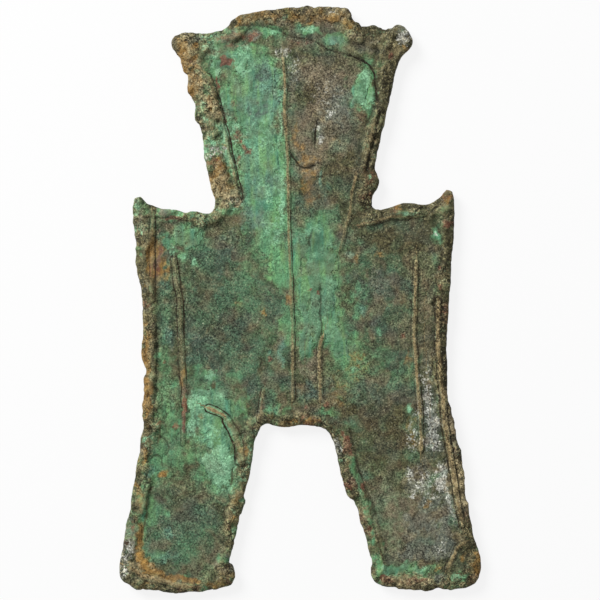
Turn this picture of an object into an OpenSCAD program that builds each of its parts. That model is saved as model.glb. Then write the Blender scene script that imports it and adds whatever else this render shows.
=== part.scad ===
// Cast bronze spade coin: flat handle, pointed shoulders and square feet,
// with the mineral and earth crusts that burial has left on its obverse.
// The coin lies on its reverse. +Y points to its head and +Z out of its obverse.
// The origin is under the middle of the coin, on the plane that it rests on.

/* [Outline] */
// Height from the soles of the feet to the top edge of the head
body_h = 46.9; // [44:0.1:54]
// Width across the flared corners of the head
head_w = 20.1; // [18:0.1:24]
// Height of the head above the shoulders
head_h = 15; // [12:0.1:18]
// How far each corner of the head flares out past its side
head_flare = 1.1; // [0.4:0.1:1.6]
// Radius of the rounded knob at each corner of the head
knob_r = 0.9; // [0.7:0.05:1.2]
// Width of the head where it meets the shoulders
neck_w = 13.2; // [11:0.1:15]
// Width across the shoulders
shoulder_w = 26.8; // [24:0.1:29]
// Height of the shoulder tips above the shoulder line
tip_h = 1.7; // [1:0.1:3]
// Length of shoulder that sweeps up into each tip
tip_run = 3.2; // [2:0.1:4]
// Radius of the point of each shoulder tip
tip_r = 0.3; // [0.2:0.05:0.45]
// Width of the blade at its waist
waist_w = 25.2; // [22:0.1:27]
// Drop from the shoulders to the waist
waist_drop = 11; // [8:0.1:13]
// Width across the soles of both feet
feet_w = 30.2; // [29:0.1:34]
// Height of the arch between the feet
arch_h = 14; // [10:0.1:16]
// Width of the arch at its top
arch_w = 5.6; // [4.5:0.1:7]
// Radius of the two round corners of the arch
arch_round = 1.2; // [0.6:0.1:2]
// Width of the arch between the soles
sole_gap = 11.6; // [9:0.1:13]
// How far the middle of each sole bows down past its corners
sole_bow = 0.5; // [0:0.1:1]
// Sideways lean of the coin above the arch, left of the middle of its feet
lean = 0.6; // [0:0.1:1]

/* [Section] */
// Thickness of the plate between the rims
plate_t = 0.7; // [0.5:0.05:1.5]
// Height of the rims above each face of the plate
rim_h = 0.3; // [0.25:0.05:0.6]
// Width of the rim at the parting line
rim_w = 1.2; // [0.9:0.05:1.6]
// Width of the flat crest of the rim
crest_w = 0.7; // [0.4:0.05:0.85]

/* [Raised lines] */
// Width of a raised line at its foot
line_w = 0.55; // [0.35:0.05:0.8]
// Height of a raised line above the plate
line_h = 0.2; // [0.1:0.01:0.24]
// How far left of the head's middle the long line down the coin starts
spine_offset = 0.7; // [0:0.1:1.2]
// How far right the long line drifts on its way down
spine_drift = 0.7; // [0:0.1:1.2]
// Distance from the long line to the short line at its right
spine_gap = 2.2; // [1.6:0.1:3.2]
// Length of the short line
short_run = 7; // [3:0.1:10]
// Clear width between the rim and the line on each side of the head, at the top
head_gap_top = 0.5; // [0.2:0.05:1]
// Clear width between the rim and the line on each side of the head, at the neck
head_gap_neck = 1.1; // [0.8:0.05:1.6]
// Clear width between the rim and the line on each side of the blade
side_gap = 1.4; // [0.9:0.05:2]
// Length of the line on each side of the blade
side_run = 16; // [10:0.1:17]
// How far right the line on each side of the blade drifts on its way down
side_drift = 0.8; // [0:0.1:1]
// Distance of the slanting lines on the reverse from the outer edges of the feet
slant_inset = 4.6; // [3:0.1:5]

/* [Sprue] */
// Height of the sprue stub above the head
stub_h = 2; // [1.4:0.1:3]
// Width of the sprue stub where it leaves the head
stub_w = 11.2; // [8:0.1:14]
// Width of the top edge of the sprue stub
stub_top_w = 5.6; // [4:0.1:7]
// Thickness of the sprue stub
stub_t = 0.9; // [0.7:0.05:1.1]

/* [Crusts] */
// Thickness of the malachite crusts
malachite_t = 0.14; // [0.06:0.02:0.3]
// Thickness of the earth crusts
earth_t = 0.18; // [0.06:0.02:0.3]
// Thickness of the lead carbonate crust
lead_t = 0.1; // [0.06:0.02:0.3]
// Width of the step around a crust, and radius of its corners
crust_edge = 0.15; // [0.05:0.01:0.2]
// Clear width between a crust and a rim or raised line
crust_gap = 0.05; // [0.03:0.01:0.12]
// Width of the malachite patch at the right of the head
cheek_patch_w = 2.4; // [1.2:0.1:3]
// Height of the malachite patch at the right of the head
cheek_patch_h = 4; // [2:0.1:6]
// Width of the malachite patch inside the left shoulder
shoulder_patch_w = 6.4; // [3:0.1:7]
// Height of the malachite patch inside the left shoulder
shoulder_patch_h = 3.5; // [2:0.1:5]
// How far the malachite down the middle reaches right of the short line
middle_patch_w = 4.8; // [3:0.1:6]
// Height of the malachite patch at the top of the left leg
leg_patch_h = 10; // [6:0.1:12]
// Width of the malachite band on the right sole
sole_band_w = 7.2; // [4:0.1:8]
// Height of the malachite band on the right sole
sole_band_h = 2.3; // [1.2:0.1:4]
// Width of the earth on the left sole
sole_earth_w = 7.2; // [4:0.1:8]
// Height of the earth on the left sole
sole_earth_h = 4.6; // [2:0.1:6]
// Length of the earth beside the left line of the head
head_earth_h = 9; // [4:0.1:10]
// How far the lead carbonate spreads below the right line of the blade
lead_patch_h = 4.6; // [2:0.1:5]
// Width of the lead carbonate below that line
lead_patch_w = 2.8; // [1.6:0.1:4]

/* [Hidden] */

bronze = "#6b6147";
malachite = "#4f9a76";
earth = "#8f7440";
lead = "#a9aaa4";

// Levels along the coin
total_h = body_h + stub_h;
foot_y = -total_h / 2;
head_y = foot_y + body_h;
shoulder_y = head_y - head_h;
waist_y = shoulder_y - waist_drop;
arch_y = foot_y + arch_h;

// Levels through the coin
total_t = plate_t + 2 * rim_h;
parting_z = total_t / 2;
field_z = rim_h + plate_t;
stub_z = parting_z + stub_t / 2;

// The rim's path runs this far inside the outline
rim_r = rim_w / 2;
// Half width of the rim where its slope meets the plate
rim_foot = rim_r + (crest_w / 2 - rim_r) * (field_z - parting_z) / (total_t - parting_z);
// How far inside the outline the plate is clear of the rim
field_inset = rim_r + rim_foot;
// How deep a raised line is rooted in the plate
line_root = 0.05;
rim_sides = 12;
line_sides = 8;

// The coin's own middle at level y: straight above the arch, closing on the feet below it
function middle(y) = -lean * min(1, max(0, (y - foot_y) / arch_h));

// n + 1 points of the curve that leaves a towards b and comes to c from b
function curve(a, b, c, n) =
    [for (i = [0:n]) let (t = i / n) (1 - t) * (1 - t) * a + 2 * t * (1 - t) * b + t * t * c];

function reversed(list) = [for (i = [len(list) - 1:-1:0]) list[i]];

function plan(path) = [for (p = path) [p.x, p.y]];

// The rim's path down one side, from the head's corner to the top of the arch.
// Each point is [x, y, radius of the rim there].
function half_rim(side) = let (
    head_x = middle(head_y),
    body_x = middle(shoulder_y),
    arch_x = middle(arch_y),
    knob = [head_x + side * (head_w / 2 - knob_r), head_y - knob_r, knob_r],
    under_knob = [head_x + side * (head_w / 2 - head_flare - rim_r), head_y - 2.6 * knob_r, rim_r],
    neck = [body_x + side * (neck_w / 2 - rim_r), shoulder_y - rim_r, rim_r],
    shoulder = [body_x + side * (shoulder_w / 2 - tip_run), shoulder_y - rim_r, rim_r],
    tip = [body_x + side * (shoulder_w / 2 - 1.3 * tip_r), shoulder_y + tip_h - tip_r, tip_r],
    tip_pull = [tip.x - side * tip_run / 3, shoulder.y, rim_r],
    under_tip = [body_x + side * (shoulder_w / 2 - rim_r), shoulder_y - rim_r, rim_r],
    waist = [middle(waist_y) + side * (waist_w / 2 - rim_r), waist_y, rim_r],
    ankle = [side * (feet_w / 2 - rim_r), foot_y + 3 * rim_r, rim_r],
    calf = [waist.x, (waist.y + ankle.y) / 2, rim_r],
    toe = [side * (feet_w / 2 - 1.5 * rim_r), foot_y + rim_r + sole_bow, rim_r],
    sole = [side * (feet_w + sole_gap) / 4, foot_y + rim_r, rim_r],
    heel = [side * (sole_gap / 2 + 1.5 * rim_r), foot_y + rim_r + sole_bow, rim_r],
    inner_ankle = [side * (sole_gap / 2 + rim_r), foot_y + 3 * rim_r, rim_r],
    knee = [arch_x + side * (arch_w / 2 + rim_r), arch_y - arch_round, rim_r],
    arch_corner = [arch_x + side * (arch_w / 2 + rim_r), arch_y + rim_r, rim_r],
    arch_top = [arch_x + side * (arch_w / 2 + rim_r - arch_round), arch_y + rim_r, rim_r]
) concat(
    [knob, under_knob, neck],
    curve(shoulder, tip_pull, tip, 4),
    [under_tip],
    curve(waist, calf, ankle, 5),
    [toe, sole, heel, inner_ankle],
    curve(knee, arch_corner, arch_top, 3)
);

rim_path = concat(half_rim(1), reversed(half_rim(-1)));

// The stub is broken off aslant: its top edge lies to the right of its middle
stub_x = middle(head_y);
stub_corners = [
    [stub_x - stub_w / 2, head_y - rim_r],
    [stub_x - stub_w / 2 + rim_w, head_y + stub_h / 2],
    [stub_x - stub_top_w * 0.2, head_y + stub_h - rim_r],
    [stub_x + stub_top_w * 0.8, head_y + stub_h - rim_r],
    [stub_x + stub_w / 2, head_y - rim_r]
];

// Where the raised lines of the obverse stand
line_r = line_w / 2;
spine_top_y = head_y - 2 * knob_r;
spine_foot_y = arch_y + rim_w + line_w;
function spine_x(y) = middle(head_y) - spine_offset
    + spine_drift * (spine_top_y - y) / (spine_top_y - spine_foot_y);
short_x = spine_x(spine_foot_y) + spine_gap;
head_line_top_y = head_y - 2 * knob_r - rim_w;
head_line_top = head_w / 2 - head_flare - field_inset - head_gap_top - line_r;
head_line_neck = neck_w / 2 - field_inset - head_gap_neck - line_r;
function head_line(y) = head_line_neck
    + (head_line_top - head_line_neck) * (y - shoulder_y) / (head_line_top_y - shoulder_y);
side_line = waist_w / 2 - field_inset - side_gap - line_r;
side_top_y = shoulder_y - 0.3 * waist_drop;
function side_line_x(side) = middle(waist_y) + side * side_line;

obverse_lines = concat(
    [
        [[spine_x(spine_top_y), spine_top_y], [spine_x(spine_foot_y), spine_foot_y]],
        [[short_x, spine_foot_y + short_run], [short_x, spine_foot_y]]
    ],
    [for (side = [-1, 1]) [
        [middle(head_y) + side * head_line(head_line_top_y), head_line_top_y],
        [middle(shoulder_y) + side * head_line(shoulder_y), shoulder_y]
    ]],
    [for (side = [-1, 1]) [
        [side_line_x(side) - side_drift / 2, side_top_y],
        [side_line_x(side) + side_drift / 2, side_top_y - side_run]
    ]]
);

// Raised lines of the reverse: one down the middle and one slanting down each leg
reverse_lines = concat(
    [[[middle(head_y), spine_top_y], [middle(arch_y), spine_foot_y]]],
    [for (side = [-1, 1]) [
        [middle(shoulder_y) + side * neck_w / 2, shoulder_y - 2 * rim_w],
        [side * (feet_w / 2 - slant_inset), foot_y + 2 * rim_w]
    ]]
);

// A bead of total thickness t: two cones that meet at the parting line
module bead(r, t) {
    crest_r = r * crest_w / rim_w;
    translate([0, 0, parting_z - t / 2]) cylinder(h = t / 2, r1 = crest_r, r2 = r, $fn = rim_sides);
    translate([0, 0, parting_z]) cylinder(h = t / 2, r1 = r, r2 = crest_r, $fn = rim_sides);
}

module rim() {
    count = len(rim_path);
    for (i = [0:count - 1]) hull() {
        for (p = [rim_path[i], rim_path[(i + 1) % count]]) translate([p.x, p.y, 0]) bead(p[2], total_t);
    }
}

module plate() {
    translate([0, 0, rim_h]) linear_extrude(plate_t) polygon(plan(rim_path));
}

module sprue_stub() {
    hull() {
        for (p = stub_corners) translate([p.x, p.y, 0]) bead(rim_r, stub_t);
    }
}

// A raised line that stands on the plane z = 0
module raised_line(points) {
    hull() {
        for (p = points) translate([p.x, p.y, -line_root])
            cylinder(h = line_h + line_root, r1 = line_r, r2 = line_r / 2, $fn = line_sides);
    }
}

module bronze_casting() {
    color(bronze) {
        plate();
        rim();
        sprue_stub();
        translate([0, 0, field_z]) for (line = obverse_lines) raised_line(line);
        translate([0, 0, rim_h]) mirror([0, 0, 1]) for (line = reverse_lines) raised_line(line);
    }
}

// Plan of the plate that is free of the rim and the raised lines
module open_field() {
    difference() {
        offset(delta = -(rim_foot + crust_gap)) polygon(plan(rim_path));
        for (line = obverse_lines) hull() {
            for (p = line) translate(p) circle(r = line_r + crust_gap, $fn = line_sides);
        }
    }
}

// A crust of thickness t over the 2-D children: a wide layer with a narrower one on it
module crust(t) {
    linear_extrude(t / 2) offset(r = crust_edge, $fn = rim_sides) offset(delta = -crust_edge) children();
    linear_extrude(t) offset(delta = -crust_edge) children();
}

// A crust on the open field of the obverse, inside the outline given
module field_crust(t, spot) {
    translate([0, 0, field_z]) crust(t) intersection() {
        open_field();
        polygon(spot);
    }
}

// A spot's points, given as shares of its width and height from its corner
function patch(corner, w, h, shares) = [for (p = shares) corner + [p.x * w, p.y * h]];

module malachite_crust_head_left() {
    neck_y = shoulder_y + rim_w;
    color(malachite) field_crust(malachite_t, [
        [middle(head_y) - head_line(head_line_top_y) + line_w, head_line_top_y],
        [spine_x(spine_top_y) - line_w, spine_top_y],
        [spine_x(neck_y) - line_w, neck_y],
        [middle(neck_y) - head_line(neck_y) + line_w, neck_y]
    ]);
}

// The right side of this patch follows the line at the right of the head
module malachite_crust_head_right() {
    foot_of_patch_y = head_line_top_y - cheek_patch_h;
    right_top = middle(head_y) + head_line(head_line_top_y) - line_w;
    right_foot = middle(head_y) + head_line(foot_of_patch_y) - line_w;
    color(malachite) field_crust(malachite_t, [
        [right_top, head_line_top_y],
        [right_top - 0.8 * cheek_patch_w, head_line_top_y - 0.1 * cheek_patch_h],
        [right_top - cheek_patch_w, head_line_top_y - 0.45 * cheek_patch_h],
        [right_foot - 0.6 * cheek_patch_w, foot_of_patch_y],
        [right_foot, foot_of_patch_y]
    ]);
}

module malachite_crust_middle() {
    top_y = shoulder_y - rim_w;
    run = top_y - spine_foot_y;
    color(malachite) field_crust(malachite_t, [
        [spine_x(top_y) + line_w, top_y],
        [short_x + 0.4 * middle_patch_w, top_y],
        [short_x + 0.25 * middle_patch_w, top_y - 0.25 * run],
        [short_x + 0.45 * middle_patch_w, top_y - 0.6 * run],
        [short_x + 0.9 * middle_patch_w, top_y - 0.7 * run],
        [short_x + middle_patch_w, top_y - 0.93 * run],
        [short_x + 0.35 * middle_patch_w, spine_foot_y],
        [spine_x(spine_foot_y) + line_w, spine_foot_y]
    ]);
}

module malachite_crust_shoulder() {
    corner = [middle(shoulder_y) - shoulder_w / 2 + tip_run, shoulder_y - field_inset];
    color(malachite) field_crust(malachite_t, patch(corner, shoulder_patch_w, shoulder_patch_h,
        [[0, 0], [0.8, 0], [1, -1], [0.7, -0.9], [0.3, -0.45]]));
}

module malachite_crust_left_leg() {
    outer_x = side_line_x(-1) + side_drift / 2 + line_w;
    inner_x = middle(arch_y) - arch_w / 2;
    color(malachite) field_crust(malachite_t, [
        [outer_x, arch_y + 0.25 * leg_patch_h],
        [inner_x - rim_w, arch_y + 0.35 * leg_patch_h],
        [inner_x, arch_y],
        [inner_x - rim_w, arch_y - 0.65 * leg_patch_h],
        [(outer_x + inner_x) / 2, arch_y - 0.45 * leg_patch_h],
        [outer_x, arch_y - 0.15 * leg_patch_h]
    ]);
}

module malachite_crust_right_sole() {
    corner = [feet_w / 2 - field_inset, foot_y + field_inset];
    color(malachite) field_crust(malachite_t, patch(corner, sole_band_w, sole_band_h,
        [[-1, 1], [0, 0.9], [0, 0], [-1, 0]]));
}

// Earth packed between the rim and the line at the left of the head
module earth_crust_head() {
    neck_y = shoulder_y + rim_w;
    top_y = neck_y + head_earth_h;
    color(earth) field_crust(earth_t, [
        [middle(head_y) - head_w / 2, top_y],
        [middle(head_y) - head_line(top_y) - line_r, top_y],
        [middle(neck_y) - head_line(neck_y) - line_r, neck_y],
        [middle(neck_y) - neck_w / 2, neck_y]
    ]);
}

module earth_crust_left_sole() {
    corner = [-feet_w / 2 + field_inset, foot_y + field_inset];
    color(earth) field_crust(earth_t, patch(corner, sole_earth_w, sole_earth_h,
        [[0, 0.75], [0.2, 1], [0.4, 0.4], [1, 0.3], [1, -0.1], [0, -0.1]]));
}

module earth_crust_sprue() {
    color(earth) translate([0, 0, stub_z]) crust(earth_t) intersection() {
        offset(delta = rim_foot - crust_gap) polygon(stub_corners);
        translate([stub_x - stub_w, head_y + crust_gap]) square([2 * stub_w, stub_h]);
    }
}

// Lead carbonate beside the line at the right of the blade, spreading below its foot
module lead_crust_right_leg() {
    line_x = side_line_x(1) + side_drift / 2;
    line_end_y = side_top_y - side_run;
    color(lead) field_crust(lead_t, [
        [line_x + line_r, waist_y],
        [line_x + line_w + side_gap, waist_y],
        [line_x + lead_patch_w, line_end_y],
        [line_x + lead_patch_w, line_end_y - 0.9 * lead_patch_h],
        [line_x, line_end_y - lead_patch_h],
        [line_x - 0.2 * lead_patch_w, line_end_y - 0.3 * lead_patch_h],
        [line_x + line_r, line_end_y - line_w]
    ]);
}

bronze_casting();
malachite_crust_head_left();
malachite_crust_head_right();
malachite_crust_middle();
malachite_crust_shoulder();
malachite_crust_left_leg();
malachite_crust_right_sole();
earth_crust_head();
earth_crust_left_sole();
earth_crust_sprue();
lead_crust_right_leg();
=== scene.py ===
"""Cast bronze spade coin, lying on its reverse and seen from straight above.

Every piece is cut from one square lattice over the coin: heights, stains and crusts are functions of x and y
on it. Lengths are millimetres unless a comment says otherwise. +Y points to the coin's head and +Z out of its
obverse.
"""
import math

import bpy
import numpy as np
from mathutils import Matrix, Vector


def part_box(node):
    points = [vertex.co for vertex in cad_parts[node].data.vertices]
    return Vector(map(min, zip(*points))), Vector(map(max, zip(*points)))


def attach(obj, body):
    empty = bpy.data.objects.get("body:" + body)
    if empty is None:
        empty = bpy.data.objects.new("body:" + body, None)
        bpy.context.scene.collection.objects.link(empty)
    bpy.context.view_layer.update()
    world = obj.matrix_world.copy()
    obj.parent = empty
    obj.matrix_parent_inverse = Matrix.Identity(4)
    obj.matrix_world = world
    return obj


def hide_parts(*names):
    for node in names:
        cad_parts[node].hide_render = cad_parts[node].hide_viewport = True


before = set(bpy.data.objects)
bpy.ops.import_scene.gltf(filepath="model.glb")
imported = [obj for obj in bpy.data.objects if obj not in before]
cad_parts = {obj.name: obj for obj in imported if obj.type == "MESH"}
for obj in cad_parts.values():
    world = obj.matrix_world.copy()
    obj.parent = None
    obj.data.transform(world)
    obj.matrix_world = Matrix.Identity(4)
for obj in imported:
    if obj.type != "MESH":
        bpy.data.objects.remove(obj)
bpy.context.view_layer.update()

MM = 0.001
# Half the coin's width and height, the lattice's step, and how far it reaches past the coin
HALF_W = 15.1
HALF_H = 24.45
STEP = 0.158
MARGIN = 1.0

# Levels through the coin, as in the solids
PARTING_Z = 0.65
OBVERSE_Z = 1.0
REVERSE_Z = 0.3
RIM_H = 0.3
STUB_TOP = 1.08
STUB_FOOT = 0.2

# Reach of the rounded edge outside the lattice's cut, and its steps from the obverse round to the reverse
EDGE_REACH = 0.3
EDGE_STEPS = 8

# The outline in the order of a walk round the coin, clockwise from the left foot of the sprue stub
SPRUE = [
    (-6.1, 22.75), (-5.75, 23.3), (-5, 23.8), (-4.2, 23.95), (-3, 24.2), (-2, 24.3), (-0.8, 24.4),
    (0.8, 24.45), (2, 24.45), (3.7, 24.4), (4.15, 24.15), (4.35, 23.6), (5, 23), (5.5, 22.9), (6.2, 22.8),
    (6.9, 22.65),
]
RIGHT_HEAD = [
    (7.6, 22.75), (8.2, 22.95), (8.8, 22.65), (9.2, 22.2), (9.35, 21.6), (9.2, 21.1), (8.8, 20.6),
    (8.4, 20.2), (8.1, 19.6), (7.85, 18.5), (7.4, 16.4), (7.1, 15), (6.6, 13), (6.3, 11.7), (6.2, 11),
    (6.4, 10.4), (6.6, 9.9), (6.45, 9.3), (6.15, 8.8), (6, 8.2), (6, 7.7),
]
RIGHT_SHOULDER = [
    (6.6, 7.55), (7.5, 7.7), (8.5, 8), (9.4, 8.05), (10.4, 7.95), (11.2, 8.2), (11.8, 8.7), (12.3, 9.4),
    (12.65, 9.2), (12.9, 8.5), (12.95, 7.8), (12.9, 6.5),
]
RIGHT_SIDE = [
    (12.8, 5), (12.65, 3.4), (12.55, 1.6), (12.4, 0.2), (12.3, -2), (12.25, -4), (12.25, -7), (12.4, -8),
    (12.5, -9), (12.7, -10), (12.95, -11), (13.1, -12), (13.4, -12.6), (13.5, -13.6), (13.7, -15),
    (13.8, -16.6), (14, -17), (14.1, -18), (14.6, -20), (14.8, -20.7), (15, -21.5),
]
RIGHT_SOLE = [
    (15.05, -22.3), (15, -23), (14.7, -23.55), (14, -23.95), (13, -24.1), (12, -24.1), (11.2, -24.2),
    (10.5, -24.25), (9, -24.2), (8, -23.95), (7, -23.9), (6.4, -23.6), (6, -23.1), (5.9, -22.5), (6, -22),
]
ARCH = [
    (5.8, -21), (5.65, -20), (5.4, -19.2), (5.1, -18.4), (4.8, -17.4), (4.5, -16.7), (4.2, -16.5),
    (3.9, -16), (3.6, -15), (3.3, -14), (3.1, -13), (2.8, -12), (2.5, -11.2), (2, -10.7), (1.2, -10.55),
    (0, -10.4), (-1.2, -10.6), (-2, -10.5), (-2.7, -10.3), (-3.1, -10.45), (-3.5, -10.9), (-3.8, -11.8),
    (-4, -13.3), (-4.15, -13.9), (-4.3, -14.8), (-4.5, -15.7), (-4.75, -16.4), (-4.55, -16.8),
    (-4.9, -17.5), (-5.1, -18), (-5.3, -19.4), (-5.55, -20.2),
]
LEFT_SOLE = [
    (-5.95, -21.8), (-5.7, -22.2), (-5.45, -22.8), (-5.6, -23.4), (-6.2, -23.95), (-7.5, -24.25),
    (-8.5, -24.4), (-9.5, -24.45), (-10.3, -24.45), (-11.2, -24.3), (-12.2, -24.15), (-13.5, -24.15),
    (-14.3, -23.75), (-14.75, -23.5), (-15, -23), (-15.05, -22.4),
]
LEFT_SIDE = [
    (-14.9, -21.5), (-14.5, -19), (-14.1, -17.2), (-13.95, -16.2), (-13.75, -15.2), (-13.6, -13.9),
    (-13.3, -12.6), (-13.25, -11.5), (-13, -10.4), (-13.2, -9.7), (-13.15, -8.8), (-13, -7.5), (-12.9, -6),
    (-13.2, -4.5), (-13.1, -2.8), (-13.15, -1.2), (-13.25, 0), (-13.3, 1.2), (-13.6, 2.6), (-13.75, 4),
    (-13.65, 5),
]
LEFT_SHOULDER = [
    (-13.8, 6.4), (-13.9, 7.2), (-13.85, 8), (-13.7, 8.55), (-13.5, 8.75), (-13.2, 8.4), (-12.8, 8),
    (-12.2, 7.8), (-11.5, 7.6), (-10.5, 7.55), (-9.6, 7.3), (-9, 7.4), (-8, 7.15), (-7.5, 7.2), (-7.2, 7.6),
]
LEFT_HEAD = [
    (-7.1, 8.3), (-7.3, 9), (-7.55, 10), (-7.75, 11), (-7.95, 12), (-8, 13), (-8.4, 14.5), (-8.7, 15.1),
    (-8.75, 16), (-9.2, 17.2), (-9.4, 18.4), (-9.9, 20.2), (-10.4, 20.8), (-10.7, 21.3), (-10.6, 21.8),
    (-9.8, 22.2), (-8, 22.2), (-7, 22.35),
]
OUTLINE = (SPRUE + RIGHT_HEAD + RIGHT_SHOULDER + RIGHT_SIDE + RIGHT_SOLE + ARCH + LEFT_SOLE + LEFT_SIDE
           + LEFT_SHOULDER + LEFT_HEAD)

# Raised lines of the obverse, as walks from the head down or from left to right: points, half width, height,
# how worn the crest is, and how dark the dirt and the painted shadow are on the walker's right and on the
# walker's left
OBVERSE_LINES = {
    "spine, head": ([(-1.4, 20.1), (-1.25, 18.2), (-1.3, 16), (-1.05, 12),
                     (-0.95, 8)], 0.16, 0.09, 0.6, 0.1, 0.5),
    "spine, blade": ([(-0.95, 8), (-0.95, 5), (-0.8, 2), (-0.65, -2),
                      (-0.6, -8.3)], 0.16, 0.07, 0.5, 0.2, 1.1),
    "short line": ([(1.9, -3), (1.6, -4), (1.65, -6.5), (1.7, -8.3)], 0.18, 0.12, 0.9, 0.6, 0.5),
    "left of the head": ([(-7.7, 18.6), (-7.05, 17), (-6.65, 15.6), (-6.25, 14), (-5.95, 12.4),
                          (-5.65, 11.2), (-5.25, 9.6), (-5.05, 8.6)], 0.2, 0.16, 0.35, 0.25, 1),
    "right of the head": ([(6.2, 15), (5.6, 12), (5.4, 11)], 0.18, 0.14, 0.35, 0.5, 1),
    "right of the neck": ([(4.7, 10.5), (4.3, 9), (4.2, 7.5), (3.3, 4.2)], 0.16, 0.1, 0.55, 0.2, 0.6),
    "left of the blade": ([(-10.5, 3.4), (-10.2, 1), (-10, 0), (-9.9, -4),
                           (-9.75, -6.5)], 0.2, 0.12, 0.1, 0.8, 1.1),
    "top of the left leg": ([(-9.7, -6.5), (-9.65, -9), (-9.75, -12)], 0.16, 0.1, 0, 0.7, 0.5),
    "right of the blade": ([(9.65, 3.2), (9.6, 0), (9.5, -3), (9.75, -6.5), (10, -9),
                            (10.1, -12.5)], 0.17, 0.16, 0.85, 0.7, 1),
    "right rim": ([(11.5, 0), (11.5, -4), (11.8, -7), (12, -10), (12.5, -13), (13, -16),
                   (13.5, -18.8)], 0.21, 0.12, 1.1, 1.3, 1.2),
    "left rim": ([(-12.3, 7.5), (-12.3, 4), (-12.35, 0)], 0.18, 0.08, 0.3, 0.6, 0.9),
    "flaw in the left leg": ([(-7.6, -9), (-6.9, -9.3), (-6.3, -9.7)], 0.22, 0.14, 0.8, 1, 0.9),
    "foot of the flaw": ([(-6.1, -10), (-5.5, -11), (-5.1, -12), (-5, -13.4)], 0.3, 0.12, 0.35, 1, 0.6),
    "beside the arch": ([(-3, -7.4), (-3.2, -8.5), (-3.4, -10)], 0.16, 0.08, 0.3, 0.9, 0.1),
    "right shoulder": ([(5, 6.3), (6.5, 6.6), (7.5, 6.9), (9, 6.85)], 0.16, 0.06, 0.6, 0.9, 0.3),
    "right foot": ([(13.7, -20.2), (13.1, -20.6), (12.75, -21.4), (12.3, -22.3)], 0.2, 0.14, 0.9, 0.8, 0.3),
    "left sole": ([(-14, -22.4), (-13, -23), (-11.6, -23.3), (-10.4, -23.7),
                   (-9, -23.9)], 0.24, 0.14, 1.2, 0.7, 0.3),
}
# The share of that height that shows, how far out the dirt and the painted shadow on the flanks lie, and the
# furrow outside it: how far out, half width and depth. All but the first and the last are in half widths of
# the line
LINE_RISE = 0.7
FLANK_AT = 1.4
FURROW_AT = 1.3 * FLANK_AT
FURROW_HALF_W = 0.5 * FLANK_AT
FURROW_DEPTH = 0.05

# Cracks and cold shuts of the casting: points and how deep and dark they are
CRACKS = {
    "under the sprue": ([(-5, 22.85), (-3, 22.85), (-1.5, 22.4)], 0.5),
    "across the head": ([(-1.5, 22.4), (-0.8, 22), (0.5, 21.75), (1.4, 21.5), (2.4, 20.9), (3.2, 20.6),
                         (4.2, 20.4)], 0.65),
    "right corner of the head": ([(4.2, 20.4), (5.3, 20), (5.9, 19.5), (6.2, 18.5), (6.4, 17.5), (6.4, 16),
                                  (6.6, 15.3)], 1.4),
    "right rim of the head": ([(6.6, 15.3), (6.2, 13.6), (5.8, 12), (5.5, 10.8)], 1.1),
    "short crack in the head": ([(1.4, 14.8), (1.35, 13.9), (1.3, 13)], 1.1),
    "bowed crack in the head": ([(-0.9, 12.3), (-0.5, 11.7), (-0.1, 11.3), (0.4, 11.05), (0.9, 11.05),
                                 (1.3, 11.3)], 0.9),
    "left rim": ([(-12, -1.5), (-12, -7), (-12.3, -10.8), (-13.1, -16.7)], 0.6),
    "inside the right leg": ([(4.1, -10.8), (4.5, -12.6), (5.2, -15), (5.8, -17.4), (6.4, -19.6),
                              (7, -22)], 0.6),
    "right knob": ([(7.9, 21.8), (7.6, 21.2), (7.4, 20.2), (7.5, 19.4)], 0.6),
    "right shoulder tip": ([(10.2, 6.9), (11, 7.4), (11.6, 7.9)], 0.6),
    "inside the right shoulder": ([(11.4, 6.2), (11.8, 5.4), (11.9, 3.8), (11.3, 2), (11.2, -1)], 0.5),
    "left shoulder": ([(-12.6, 6.9), (-11, 6.9), (-9, 6.5)], 0.5),
    "left of the head": ([(-6.9, 17.2), (-6.3, 15), (-5.9, 13), (-5.4, 11), (-5.05, 9.2),
                          (-4.85, 8.4)], 0.7),
    "neck": ([(-7, 8.2), (-6.2, 7.6), (-5.2, 7.9)], 0.6),
    "above the short line": ([(1.75, 1.2), (1.7, -1), (1.85, -2.8)], 0.6),
    "in the middle green": ([(0.95, 5.6), (0.75, 5.1), (0.85, 4.5)], 0.45),
    "scale, left leg, first": ([(-12.3, -7.2), (-11.8, -7.5), (-11.5, -8), (-11.5, -8.5)], 0.4),
    "scale, left leg, second": ([(-12.1, -9.3), (-11.7, -9), (-11.3, -9.1), (-11.1, -9.5),
                                 (-11.3, -9.9)], 0.4),
    "scale, left leg, third": ([(-10.9, -10.6), (-10.5, -10.7), (-10.2, -11.1), (-10.3, -11.6)], 0.4),
    "scale, left leg, fourth": ([(-11.9, -11.3), (-11.4, -11.4), (-11, -11.8), (-10.9, -12.4),
                                 (-11.2, -12.8)], 0.45),
    "scale, left leg, fifth": ([(-12.5, -13.3), (-12.2, -13), (-11.8, -12.9), (-11.5, -13.2),
                                (-11.5, -13.8)], 0.5),
}
CRACK_HALF_W = 0.14
CRACK_DEPTH = 0.16

REVERSE_LINES = {
    "middle": [(-0.6, 20.6), (-0.6, -8.2)],
    "left slant": [(-7.2, 5), (-10.5, -22)],
    "right slant": [(6, 5), (10.5, -22)],
}
REVERSE_LINE_H = 0.2
REVERSE_LINE_HALF_W = 0.24

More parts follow.
